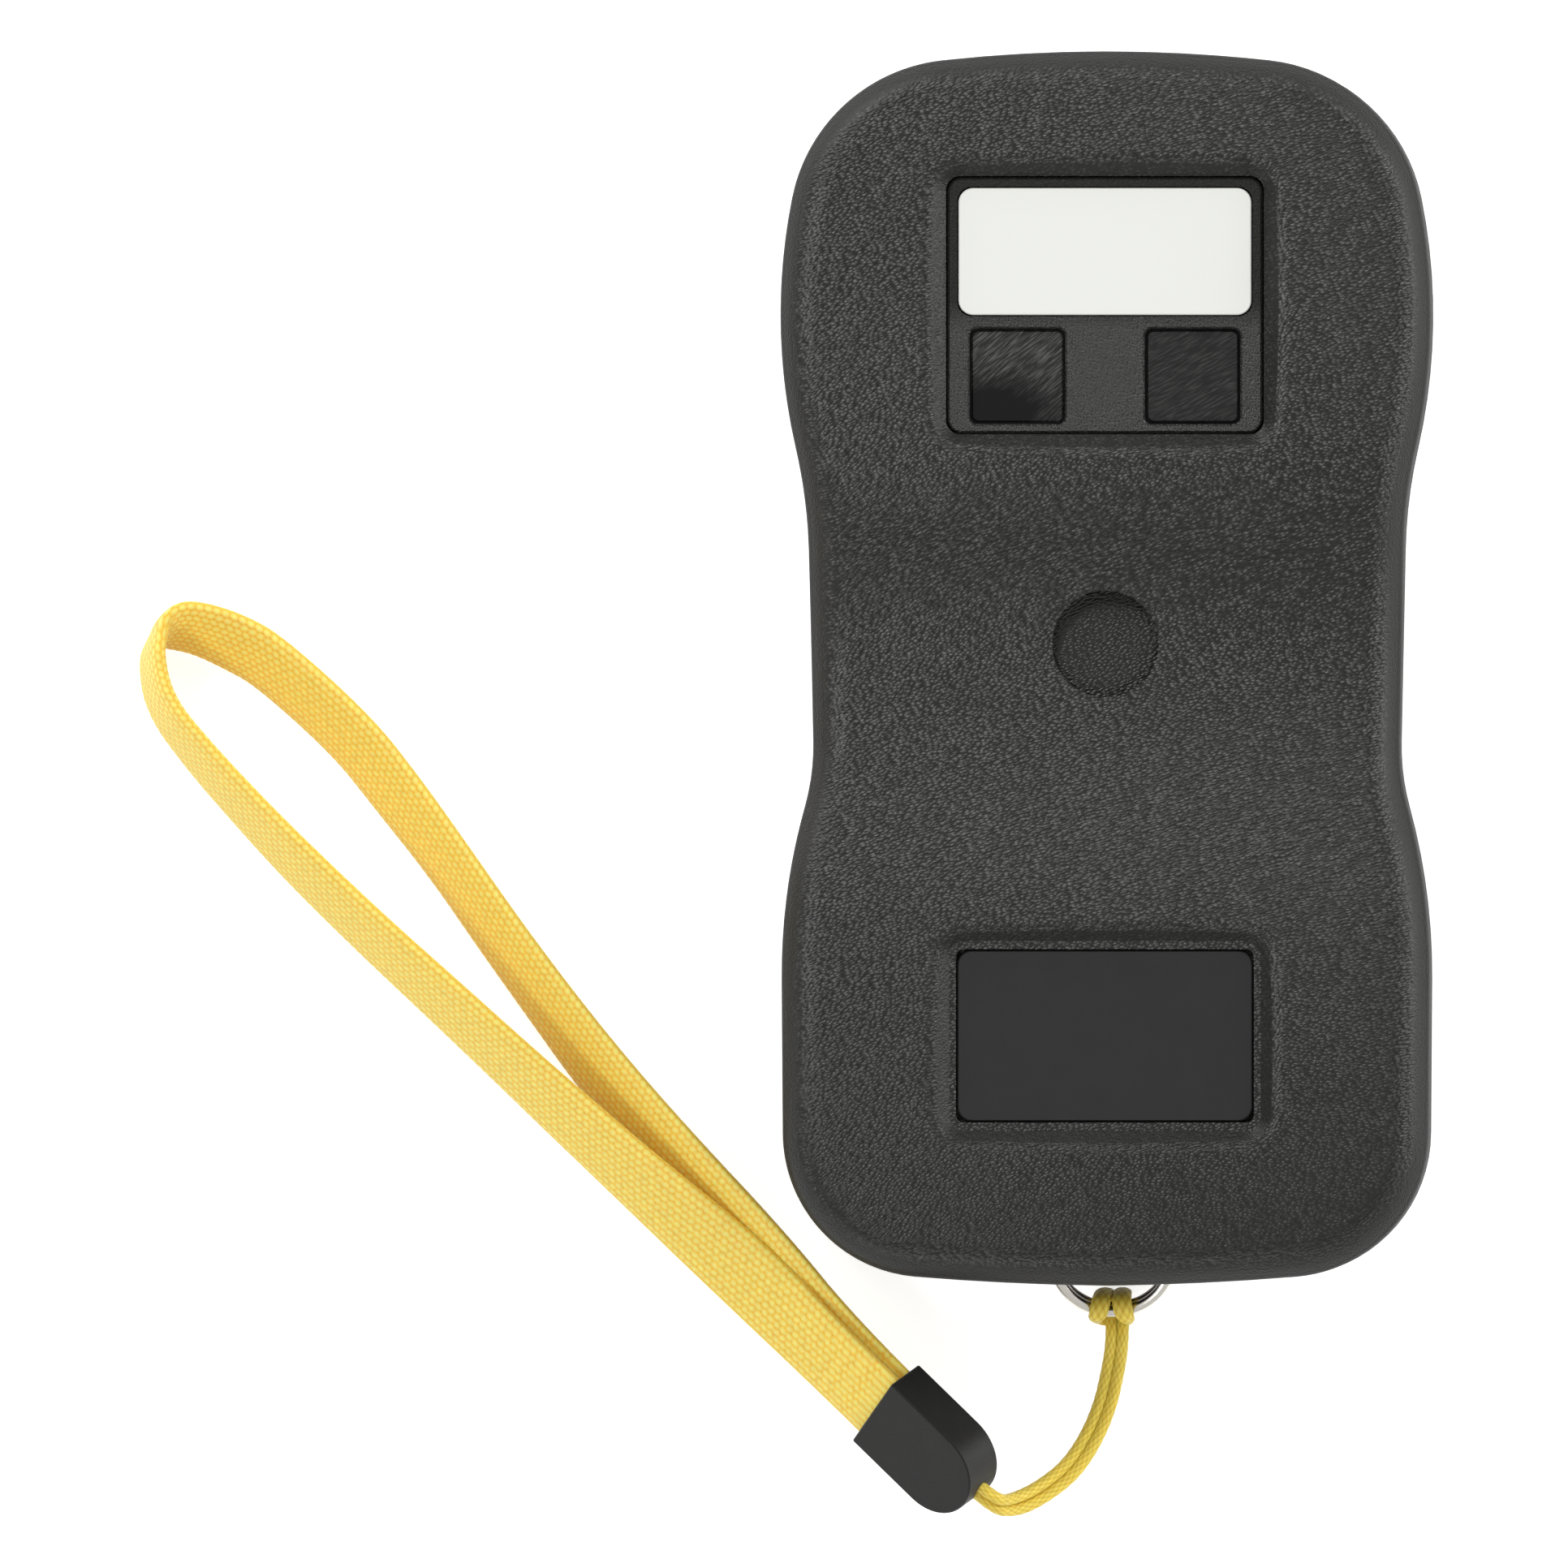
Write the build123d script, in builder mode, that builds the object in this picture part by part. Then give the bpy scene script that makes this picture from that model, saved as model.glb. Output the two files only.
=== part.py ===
from build123d import *
import math
import os

# Hand-held radio remote: two moulded half shells, a framed keypad, a battery box and a wrist strap.
# It lies on its flat back, face up: +X right, +Y towards the keypad end, +Z out of the face.
# The origin is the centre of the flat back. All sizes are in millimetres.

os.makedirs("parts", exist_ok=True)

# Housing, seen from the front: the right half as tangent steps from the middle of the top edge.
# Each step is (radius, turn in degrees), a left turn positive, or (None, length) for a straight run.
TOP_Y = 68.29
BOTTOM_Y = -68.45
OUTLINE_STEPS = [
    (167.8, -6.2),
    (19.05, -72.5),
    (66.3, -24.2),
    (55.2, 11.7),
    (None, 21.3),
    (25.4, 16.5),
    (70.3, -15.7),
    (None, 17.2),
    (16.0, -84.9),
]

# Face, seen from the side: two crowns with a thumb hollow between them, from the bottom end up.
FACE_START = (-73.3, 23.4)
FACE_START_SLOPE = 10.0
FACE_STEPS = [
    (180.0, -14.5),
    (45.0, -12.5),
    (55.0, 34.0),
    (45.0, -12.5),
    (220.0, -13.5),
]
CROWN_RADIUS = 450.0
HALF_SPAN = 45.0
SPAN_HEIGHT = 16.0

# Fits and joins that several pieces share. Inner forms start inside the floor they stand on.
SEAT_PLAY = 0.3
CLEAR_PLAY = 0.2
SEAL_PLAY = 0.1
SHANK_PLAY = 0.05
PRESS_PLAY = 0.02
ROOT_Z = 1.0
ROOT_DEPTH = 0.5

# The two half shells. The rough heights are cut back by the face or the ceiling.
PARTING_Z = 13.0
WALL = 2.6
CEILING_EXTRA = 0.5
FRONT_EDGE_RADIUS = 4.5
BACK_EDGE_RADIUS = 5.0
ROUGH_HULL = 16.0
ROUGH_ROOM = 17.0
ROUGH_PAD = 8.0
ROUGH_BOSS = 15.0
ROUGH_POST = 12.0

# Joint between the half shells: a tongue that presses a soft seal into a groove.
GROOVE_WIDTH = 1.0
GROOVE_DEPTH = 1.4
GROOVE_INSET = 0.8
TONGUE_DEPTH = 0.8
TONGUE_PLAY = 0.1

# Keypad recess, its panel and the pieces in it.
PANEL_Y = 40.14
PANEL_WIDTH = 34.9
PANEL_HEIGHT = 28.3
PANEL_CORNER = 1.6
PANEL_TOP_Z = 24.0
PANEL_THICKNESS = 1.6
PANEL_CHAMFER = 0.25
PANEL_PAD_RIM = 2.8
PAD_CORNER = 3.0
BEVEL_ANGLE = 50.0
BEVEL_SOFTNESS = 1.7
RECESS_CUT = 4.0
LEDGE_THICKNESS = 2.0
PLATE_Y = 46.08
PLATE_WIDTH = 32.4
PLATE_HEIGHT = 14.04
PLATE_CORNER = 1.6
PLATE_THICKNESS = 0.9
PLATE_PROUD = 0.1
PLATE_CHAMFER = 0.12
KEY_X = 9.7
KEY_Y = 32.27
KEY_OPENING = 10.6
KEY_SIZE = 10.2
KEY_CORNER = 0.8
KEY_CHAMFER = 0.2
KEY_TOP_Z = 23.4
KEY_BOTTOM_Z = 21.9
KEY_FLANGE = 11.2
KEY_FLANGE_THICKNESS = 0.4
KEY_STEM = 4.0
MAT_WIDTH = 33.0
MAT_HEIGHT = 14.4
MAT_CORNER = 0.8
MAT_PLAY = 0.4
MAT_WINDOW_CORNER = 1.0
MAT_OPENING = 12.0
MAT_Z = 21.4
WEB_INNER = 7.0

# Name plate recess in the lower crown.
NAME_Y = -40.75
NAME_WIDTH = 32.7
NAME_HEIGHT = 18.9
NAME_CORNER = 1.7
NAME_SEAT_CORNER = 0.9
NAME_STEP_WIDTH = 34.5
NAME_STEP_HEIGHT = 21.0
NAME_STEP_Z = 24.2
NAME_SEAT_Z = 23.0
NAME_THICKNESS = 1.0
NAME_CHAMFER = 0.15
NAME_PAD_RIM = 2.5

# Round dish in the thumb hollow.
DISH_Y = 2.66
DISH_DIAMETER = 11.8
DISH_FLOOR_Z = 20.4

# Circuit board and what it carries.
BOARD_Z = 14.2
BOARD_THICKNESS = 1.6
BOARD_TOP_Z = BOARD_Z + BOARD_THICKNESS
BOARD_WIDTH = 50.0
BOARD_LOW_Y = 15.0
BOARD_HIGH_Y = 51.0
BOARD_TONGUE_WIDTH = 36.0
BOARD_TONGUE_Y = 62.0
BOARD_POST = 5.2
BOARD_SCREW_SHANK = 2.0
BOARD_SCREWS = [(-22.3, 18.3), (22.3, 18.3), (-22.3, 47.7), (22.3, 47.7)]
SWITCH_SIZE = 6.2
SWITCH_HEIGHT = 3.4
SWITCH_FLOOR = 0.9
PLUNGER_DIAMETER = 3.2
PLUNGER_TOP_Z = 21.0
PLUNGER_LENGTH = 3.3
PLUNGER_PLAY = 0.08
SWITCH_LEG_PITCH = 4.5
SWITCH_LEG_REACH = 1.0
SWITCH_LEG = (1.4, 0.7)
LEG_THICKNESS = 0.3
BOARD_SCREW_BORE = 4.5
BOARD_SCREW_HEAD = 4.0
BOARD_SCREW_HEAD_HEIGHT = 1.3
BOARD_SCREW_LENGTH = 5.6
ANTENNA_X = 14.0
ANTENNA_PITCH = 3.5
ANTENNA_TURNS = 8
ANTENNA_LOW_Y = 50.0
ANTENNA_HIGH_Y = 60.5
ANTENNA_WIDTH = 0.9
ANTENNA_THICKNESS = 0.3
ANTENNA_STEP = 2.0
MODULE_PLACE = (-9.0, 30.0)
MODULE_WIDTH = 16.0
MODULE_LENGTH = 22.0
MODULE_THICKNESS = 0.8
CAN_WIDTH = 14.0
CAN_LENGTH = 16.0
CAN_HEIGHT = 2.2
CAN_CORNER = 0.8
CAN_SHEET = 0.3
CAN_VENT = 1.6
CHIP_PLACE = (11.0, 32.0)
CHIP_SIZE = 7.0
CHIP_THICKNESS = 1.2
CHIP_STANDOFF = 0.1
CHIP_LEG_PITCH = 0.8
CHIP_LEG = (2.0, 0.5)
CHIP_LEGS = 8

# Screws that close the housing.
HOUSING_SCREWS = [(-25.0, 57.0), (25.0, 57.0), (-26.5, -57.0), (26.5, -57.0)]
HOUSING_BOSS = 8.0
SCREW_HEAD = 5.4
SCREW_HEAD_HEIGHT = 2.4
SCREW_SHANK = 2.9
SCREW_SEAT_Z = 3.4
SCREW_HOLE = 3.2
SCREW_SOCKET = 2.8
SCREW_SOCKET_DEPTH = 1.3
SCREW_HEAD_CHAMFER = 0.4
INSERT_DIAMETER = 4.2
INSERT_LENGTH = 5.0
INSERT_BORE_SPARE = 2.0

# Battery box for two AA cells, closed by a cover in the back.
CELL_DIAMETER = 14.3
CELL_LENGTH = 49.5
CELL_X = 7.55
CELL_Z = 9.65
CELL_NUB = 5.3
CELL_NUB_HEIGHT = 1.0
CONTACT_SIZE = 9.0
BOX_WIDTH = 30.4
BOX_LOW_Y = -50.5
BOX_HIGH_Y = 4.0
BOX_TOP_Z = 17.0
BOX_ROOF = 1.1
BOX_WALL = 1.4
BOX_CORNER = 1.0
BOX_OUTER_CORNER = 2.0
COVER_WIDTH = 38.0
COVER_LOW_Y = -55.1
COVER_HIGH_Y = 13.9
COVER_CORNER = 4.0
COVER_THICKNESS = 2.0
COVER_PLAY = 0.25
COVER_CHAMFER = 0.3
COVER_SCREWS = [(-13.0, 10.0), (13.0, 10.0)]
COVER_BOSS = 6.8
COVER_BOSS_Z = 9.6
COVER_BOSS_ROOF = 1.2
COVER_INSERT_DIAMETER = 3.6
COVER_INSERT_LENGTH = 4.0
COVER_SCREW_HEAD = 4.6
COVER_SCREW_SHANK = 2.4
COVER_SCREW_LENGTH = 6.0
COVER_SCREW_SEAT = 1.2
COVER_SCREW_SUNK = 0.1
COVER_SCREW_HEAD_HEIGHT = 1.1
COVER_SCREW_SOCKET = 1.8
COVER_HOOK_X = 15.0
HOOK_WIDTH = 6.0
HOOK_REACH = 1.6
HOOK_Z = 1.1
HOOK_GAP = 0.15
HOOK_PLAY = 0.6
LAND_Z = 4.6
LAND_SIDE = 2.0
LAND_END = 2.5
SEAL_INNER = 0.7
SEAL_OUTER = 1.9
SEAL_INNER_CORNER = 1.5
SEAL_OUTER_CORNER = 2.5
COVER_SEAL_THICKNESS = 0.9
STRIP_WIDTH = 3.2
STRIP_Z = 13.9
STRIP_LENGTH = 13.0
CONTACT_THICKNESS = 0.3
SPRING_TOP = 3.0
SPRING_ROOT = 2.0
SPRING_PAD = 0.6
SPRING_SHEET = 0.4
SPRING_WIDTH = 2.4
SPRING_GAP = 0.05
RIB_YS = [24.0, 36.0, 48.0]
RIB_SPAN = 58.0
RIB_X = 12.0
RIB_MIDDLE_Y = 37.0
RIB_LENGTH = 42.0
RIB_THICKNESS = 1.2
RIB_HEIGHT = 4.5

# Strap eye: a lug in a pocket at the bottom end, with a split ring through it.
POCKET_WIDTH = 17.4
POCKET_Y = -56.6
POCKET_TOP_Z = 10.6
POCKET_WALL = 1.8
POCKET_DEPTH = 12.0
POCKET_REACH = 20.0
LUG_RADIUS = 3.2
LUG_THICKNESS = 3.0
EYE_Y = -59.65
EYE_Z = 9.1
EYE_DIAMETER = 3.4
RING_DIAMETER = 14.3
RING_RADIAL = 1.3
RING_AXIAL = 2.2
RING_TILT = 27.0
RING_X = 0.45
RING_WAIST = 0.3
RING_CUT = 0.25
RING_CUT_TURNS = {1: 68, -1: 112}

# Clamp that joins the webbing and the cord: it lies rolled over on one edge.
CLAMP_START = (-24.78, -81.53, 5.65)
CLAMP_AXIS = (0.710, -0.687, 0.154)
CLAMP_FACE = (-0.558, -0.416, 0.718)
CLAMP_WIDTH = 10.6
CLAMP_THICKNESS = 5.4
CLAMP_LENGTH = 14.6
CLAMP_EDGE = 0.15
CLAMP_SLOT_DEPTH = 7.0
CLAMP_SLOT_PLAY = 0.15
CLAMP_LEAN = 46.2
CORD_HOLE_DEPTH = 7.0

# Cord loop between the ring and the clamp, a doubled strand. The strands lie one on the other in
# the clamp and roll over to lie side by side: the angles are the roll at each point of the route.
CORD_DIAMETER = 1.5
CORD_PITCH = 1.6
CORD_HOLD = 3.6
CORD_LEAD = 2.2
CORD_WRAP = 2.1
CORD_SIDES = 8
CORD_ROLLS = [70, 70, 25, 0, 0, 0, 0]
CORD_HOLE_LENGTH = 3.3
CORD_HOLE_WIDTH = 1.9
CORD_EXIT_BACK = 0.4

# Flat webbing of the wrist loop.
WEBBING_WIDTH = 8.5
WEBBING_THICKNESS = 1.6
WEBBING_LIFT = 0.05
WEBBING_GAP = 0.06
WEBBING_HOLD = 4.0
WEBBING_LEAD = 8.0
WEBBING_SECTIONS = 110


def tangent_steps(start, direction, steps):
    """Draws arcs and straight runs, each tangent to the one before, and returns the last one."""
    point, heading = start, direction
    for radius, size in steps:
        if radius is None:
            step = PolarLine(point, size, direction=heading)
        else:
            step = JernArc(point, heading, radius, size)
        point, heading = step @ 1, step % 1
    return step


with BuildSketch() as outline_sketch:
    with BuildLine():
        side = tangent_steps((0, TOP_Y), (1, 0), OUTLINE_STEPS)
        TangentArc(side @ 1, (0, BOTTOM_Y), tangent=side % 1)
        mirror(about=Plane.YZ)
    make_face()
OUTLINE = outline_sketch.sketch


def space_over_face(drop, crowned):
    """The space over the housing's face sunk by drop, crowned or level from side to side."""
    steps = [(radius + math.copysign(drop, turn), turn) for radius, turn in FACE_STEPS]
    slope = math.radians(FACE_START_SLOPE)
    start = (FACE_START[0] + drop * math.sin(slope), FACE_START[1] - drop * math.cos(slope))
    with BuildLine(Plane.YZ) as ridge:
        tangent_steps(start, (math.cos(slope), math.sin(slope)), steps)
    edge_y = math.sqrt(CROWN_RADIUS**2 - HALF_SPAN**2) - CROWN_RADIUS if crowned else 0.0
    with BuildPart() as space:
        with BuildSketch(Plane(ridge.line @ 0, x_dir=(1, 0, 0), z_dir=-(ridge.line % 0))):
            with BuildLine():
                if crowned:
                    ThreePointArc((-HALF_SPAN, edge_y), (0, 0), (HALF_SPAN, edge_y))
                else:
                    Line((-HALF_SPAN, 0), (HALF_SPAN, 0))
                right, left = (HALF_SPAN, edge_y), (-HALF_SPAN, edge_y)
                Polyline(right, (HALF_SPAN, SPAN_HEIGHT), (-HALF_SPAN, SPAN_HEIGHT), left)
            make_face()
        sweep(path=ridge.line)
    return space.part


OVER_FACE = space_over_face(0.0, crowned=True)
OVER_CEILING = space_over_face(WALL + CEILING_EXTRA, crowned=False)
UNDER_SKIN = space_over_face(WALL * 0.8, crowned=False)


def rim_edges(part, z_low):
    """The edges of a moulding that run over the outline above a height, without its upright seams."""
    wire = OUTLINE.face().outer_wire()
    rim = ShapeList()
    for edge in part.edges():
        middle = edge @ 0.5
        ends = (edge @ 0, edge @ 1)
        upright = math.dist((ends[0].X, ends[0].Y), (ends[1].X, ends[1].Y)) < 0.01
        if middle.Z > z_low and not upright:
            if wire.distance_to(Vertex(middle.X, middle.Y, 0)) < 0.02:
                rim.append(edge)
    return rim


def brow_edges(part):
    """The upper edges of the sloping recess sides, where they meet the face."""
    brow = ShapeList()
    for edge in part.edges():
        middle = edge @ 0.5
        inside = abs(middle.X) < PANEL_WIDTH / 2 + 5 and edge.length < PANEL_WIDTH + 2
        if inside and middle.Z > PANEL_TOP_Z and OVER_FACE.distance_to(middle) < 0.01:
            brow.append(edge)
    return brow


def rim_band(outer, inner):
    """A band that follows the outline, between two distances in from it."""
    with BuildSketch() as band:
        offset(OUTLINE.face(), amount=-outer, mode=Mode.ADD)
        offset(OUTLINE.face(), amount=-inner, mode=Mode.SUBTRACT)
    return band.sketch


PANEL_SEAT_Z = PANEL_TOP_Z - PANEL_THICKNESS
LEDGE_Z = PANEL_SEAT_Z - LEDGE_THICKNESS
NAME_PAD_Z = NAME_SEAT_Z - LEDGE_THICKNESS

# Moulded hull of the front shell: the outline up to the face, with a soft edge all round.
with BuildPart() as front_hull:
    with BuildSketch(Plane.XY.offset(PARTING_Z)):
        add(OUTLINE)
    extrude(amount=ROUGH_HULL)
    add(OVER_FACE, mode=Mode.SUBTRACT)
    fillet(rim_edges(front_hull.part, PARTING_Z + ROOT_Z), radius=FRONT_EDGE_RADIUS)

# The room inside the front shell.
with BuildPart() as front_room:
    with BuildSketch(Plane.XY.offset(PARTING_Z - ROOT_Z)):
        add(OUTLINE)
        offset(amount=-WALL)
    extrude(amount=ROUGH_ROOM)
    add(OVER_CEILING, mode=Mode.SUBTRACT)

# Pads behind the two recesses, screw bosses and board posts, all reaching up into the wall.
with BuildPart() as front_inner:
    with BuildSketch(Plane.XY.offset(LEDGE_Z)):
        with Locations((0, PANEL_Y)):
            RectangleRounded(
                PANEL_WIDTH + 2 * PANEL_PAD_RIM, PANEL_HEIGHT + 2 * PANEL_PAD_RIM, PAD_CORNER
            )
    extrude(amount=ROUGH_PAD)
    with BuildSketch(Plane.XY.offset(NAME_PAD_Z)):
        with Locations((0, NAME_Y)):
            RectangleRounded(
                NAME_STEP_WIDTH + 2 * NAME_PAD_RIM, NAME_STEP_HEIGHT + 2 * NAME_PAD_RIM, PAD_CORNER
            )
    extrude(amount=ROUGH_PAD)
    with BuildSketch(Plane.XY.offset(PARTING_Z)):
        with Locations(*HOUSING_SCREWS):
            Circle(HOUSING_BOSS / 2)
    extrude(amount=ROUGH_BOSS)
    with BuildSketch(Plane.XY.offset(BOARD_TOP_Z)):
        with Locations(*BOARD_SCREWS):
            Circle(BOARD_POST / 2)
    extrude(amount=ROUGH_POST)
    add(UNDER_SKIN, mode=Mode.SUBTRACT)

with BuildPart() as front_housing:
    add(front_hull.part)
    add(front_room.part, mode=Mode.SUBTRACT)
    add(front_inner.part)
    # keypad recess: sloping sides down to the panel, then a straight seat for it
    with BuildSketch(Plane.XY.offset(PANEL_TOP_Z)):
        with Locations((0, PANEL_Y)):
            RectangleRounded(PANEL_WIDTH + SEAT_PLAY, PANEL_HEIGHT + SEAT_PLAY, PANEL_CORNER)
    extrude(amount=RECESS_CUT, taper=-BEVEL_ANGLE, mode=Mode.SUBTRACT)
    with BuildSketch(Plane.XY.offset(NAME_STEP_Z)):
        with Locations((0, NAME_Y)):
            RectangleRounded(NAME_STEP_WIDTH, NAME_STEP_HEIGHT, PANEL_CORNER)
    extrude(amount=RECESS_CUT, taper=-BEVEL_ANGLE, mode=Mode.SUBTRACT)
    fillet(brow_edges(front_housing.part), radius=BEVEL_SOFTNESS)
    with BuildSketch(Plane.XY.offset(PANEL_SEAT_Z)):
        with Locations((0, PANEL_Y)):
            RectangleRounded(PANEL_WIDTH + SEAT_PLAY, PANEL_HEIGHT + SEAT_PLAY, PANEL_CORNER)
    extrude(amount=PANEL_THICKNESS, mode=Mode.SUBTRACT)
    # window for the keys behind the panel
    with BuildSketch(Plane.XY.offset(LEDGE_Z)):
        with Locations((0, KEY_Y)):
            RectangleRounded(MAT_WIDTH + MAT_PLAY, MAT_HEIGHT + MAT_PLAY, MAT_WINDOW_CORNER)
    extrude(amount=LEDGE_THICKNESS, mode=Mode.SUBTRACT)
    with BuildSketch(Plane.XY.offset(NAME_SEAT_Z)):
        with Locations((0, NAME_Y)):
            RectangleRounded(NAME_WIDTH + SEAT_PLAY, NAME_HEIGHT + SEAT_PLAY, NAME_SEAT_CORNER)
    extrude(amount=2 * NAME_THICKNESS, mode=Mode.SUBTRACT)
    # round dish in the thumb hollow
    with BuildSketch(Plane.XY.offset(DISH_FLOOR_Z)):
        with Locations((0, DISH_Y)):
            Circle(DISH_DIAMETER / 2)
    extrude(amount=RECESS_CUT, mode=Mode.SUBTRACT)
    # tongue that presses the seal
    with BuildSketch(Plane.XY.offset(PARTING_Z - TONGUE_DEPTH)):
        add(rim_band(GROOVE_INSET + TONGUE_PLAY, GROOVE_INSET + GROOVE_WIDTH - TONGUE_PLAY))
    extrude(amount=TONGUE_DEPTH)
    # bores for the inserts and the board screws
    with BuildSketch(Plane.XY.offset(PARTING_Z)):
        with Locations(*HOUSING_SCREWS):
            Circle(INSERT_DIAMETER / 2 + PRESS_PLAY)
    extrude(amount=INSERT_LENGTH + INSERT_BORE_SPARE, mode=Mode.SUBTRACT)
    with BuildSketch(Plane.XY.offset(BOARD_TOP_Z)):
        with Locations(*BOARD_SCREWS):
            Circle(BOARD_SCREW_SHANK / 2 + SHANK_PLAY)
    extrude(amount=BOARD_SCREW_BORE, mode=Mode.SUBTRACT)
front_housing.part.label = "front_housing"
export_step(front_housing.part, "parts/front_housing.step")

# Back shell: floor and side wall, the battery box, screw columns and the strap pocket with its lug.
COVER_Y = (COVER_LOW_Y + COVER_HIGH_Y) / 2
COVER_HEIGHT = COVER_HIGH_Y - COVER_LOW_Y
BOX_Y = (BOX_LOW_Y + BOX_HIGH_Y) / 2
BOX_HEIGHT = BOX_HIGH_Y - BOX_LOW_Y
LUG_BACK = POCKET_Y - EYE_Y + ROOT_DEPTH
LUG_TOP = POCKET_TOP_Z - EYE_Z + ROOT_DEPTH

with BuildPart() as rear_housing:
    with BuildSketch():
        add(OUTLINE)
    extrude(amount=PARTING_Z)
    fillet(rear_housing.faces().sort_by(Axis.Z)[0].edges(), radius=BACK_EDGE_RADIUS)
    with BuildSketch(Plane.XY.offset(WALL)):
        add(OUTLINE)
        offset(amount=-WALL)
    extrude(amount=PARTING_Z, mode=Mode.SUBTRACT)
    # stiffening ribs on the floor, under the circuit board
    with BuildSketch(Plane.XY.offset(WALL - ROOT_DEPTH)):
        with Locations(*[(0, y) for y in RIB_YS]):
            Rectangle(RIB_SPAN, RIB_THICKNESS)
        with Locations((-RIB_X, RIB_MIDDLE_Y), (RIB_X, RIB_MIDDLE_Y)):
            Rectangle(RIB_THICKNESS, RIB_LENGTH)
    extrude(amount=RIB_HEIGHT)
    # land round the battery opening, and the box over it
    with BuildSketch(Plane.XY.offset(ROOT_Z)):
        with Locations((0, COVER_Y)):
            RectangleRounded(COVER_WIDTH + 2 * LAND_SIDE, COVER_HEIGHT + 2 * LAND_END, COVER_CORNER)
    extrude(amount=LAND_Z - ROOT_Z)
    with BuildSketch(Plane.XY.offset(ROOT_Z)):
        with Locations((0, BOX_Y)):
            RectangleRounded(BOX_WIDTH + 2 * BOX_WALL, BOX_HEIGHT + 2 * BOX_WALL, BOX_OUTER_CORNER)
    extrude(amount=BOX_TOP_Z + BOX_ROOF - ROOT_Z)
    with BuildSketch(Plane.XY.offset(ROOT_Z)):
        with Locations(*HOUSING_SCREWS):
            Circle(HOUSING_BOSS / 2)
    extrude(amount=PARTING_Z - ROOT_Z)
    with BuildSketch(Plane.XY.offset(ROOT_Z)):
        with Locations(*COVER_SCREWS):
            Circle(COVER_BOSS / 2)
    extrude(amount=COVER_BOSS_Z - ROOT_Z)
    # walls round the strap pocket
    with BuildSketch(Plane.XY.offset(ROOT_Z)):
        with Locations((0, POCKET_Y + POCKET_WALL)):
            Rectangle(POCKET_WIDTH + 2 * POCKET_WALL, POCKET_DEPTH, align=(Align.CENTER, Align.MAX))
    extrude(amount=POCKET_TOP_Z + POCKET_WALL - ROOT_Z)
    # the battery opening, with a rebate for the cover and a groove for its seal
    with BuildSketch():
        with Locations((0, COVER_Y)):
            RectangleRounded(COVER_WIDTH + 2 * COVER_PLAY, COVER_HEIGHT + 2 * COVER_PLAY, COVER_CORNER)
    extrude(amount=COVER_THICKNESS, mode=Mode.SUBTRACT)
    with BuildSketch():
        with Locations((0, BOX_Y)):
            RectangleRounded(BOX_WIDTH, BOX_HEIGHT, BOX_CORNER)
    extrude(amount=BOX_TOP_Z, mode=Mode.SUBTRACT)
    with BuildSketch(Plane.XY.offset(COVER_THICKNESS)):
        with Locations((0, BOX_Y)):
            RectangleRounded(
                BOX_WIDTH + 2 * SEAL_OUTER, BOX_HEIGHT + 2 * SEAL_OUTER, SEAL_OUTER_CORNER
            )
            RectangleRounded(
                BOX_WIDTH + 2 * SEAL_INNER,
                BOX_HEIGHT + 2 * SEAL_INNER,
                SEAL_INNER_CORNER,
                mode=Mode.SUBTRACT,
            )
    extrude(amount=COVER_SEAL_THICKNESS, mode=Mode.SUBTRACT)
    # slots that hold the cover's hooks
    with BuildSketch(Plane.XY.offset(HOOK_Z)):
        with Locations((-COVER_HOOK_X, COVER_LOW_Y), (COVER_HOOK_X, COVER_LOW_Y)):
            Rectangle(HOOK_WIDTH + HOOK_PLAY, 2 * HOOK_REACH + HOOK_PLAY)
    extrude(amount=COVER_THICKNESS - HOOK_Z, mode=Mode.SUBTRACT)
    # slots for the contact strips that run to the board
    with BuildSketch(Plane.XY.offset(STRIP_Z - CLEAR_PLAY)):
        with Locations((-CELL_X, BOX_HIGH_Y), (CELL_X, BOX_HIGH_Y)):
            Rectangle(STRIP_WIDTH + 2 * CLEAR_PLAY, 4 * BOX_WALL)
    extrude(amount=CONTACT_THICKNESS + 2 * CLEAR_PLAY, mode=Mode.SUBTRACT)
    # screw holes, sunk from the back, and bores for the cover's inserts
    with Locations(*[Location((x, y, 0), (180, 0, 0)) for x, y in HOUSING_SCREWS]):
        CounterBoreHole(SCREW_HOLE / 2, SCREW_HEAD / 2 + CLEAR_PLAY, SCREW_SEAT_Z, depth=PARTING_Z)
    with BuildSketch(Plane.XY.offset(COVER_THICKNESS)):
        with Locations(*COVER_SCREWS):
            Circle(COVER_INSERT_DIAMETER / 2 + PRESS_PLAY)
    extrude(amount=COVER_BOSS_Z - COVER_THICKNESS - COVER_BOSS_ROOF, mode=Mode.SUBTRACT)
    # strap pocket, open to the bottom end and the back
    with BuildSketch():
        with Locations((0, POCKET_Y)):
            Rectangle(POCKET_WIDTH, POCKET_REACH, align=(Align.CENTER, Align.MAX))
    extrude(amount=POCKET_TOP_Z, mode=Mode.SUBTRACT)
    # lug for the ring, hanging from the pocket's roof and inner wall
    with BuildSketch(Plane.YZ):
        with Locations((EYE_Y, EYE_Z)):
            Circle(LUG_RADIUS)
            Rectangle(LUG_BACK, 2 * LUG_RADIUS, align=(Align.MIN, Align.CENTER))
            with Locations((-LUG_RADIUS, 0)):
                Rectangle(LUG_RADIUS + LUG_BACK, LUG_TOP, align=(Align.MIN, Align.MIN))
            Circle(EYE_DIAMETER / 2, mode=Mode.SUBTRACT)
    extrude(amount=LUG_THICKNESS / 2, both=True)
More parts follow.
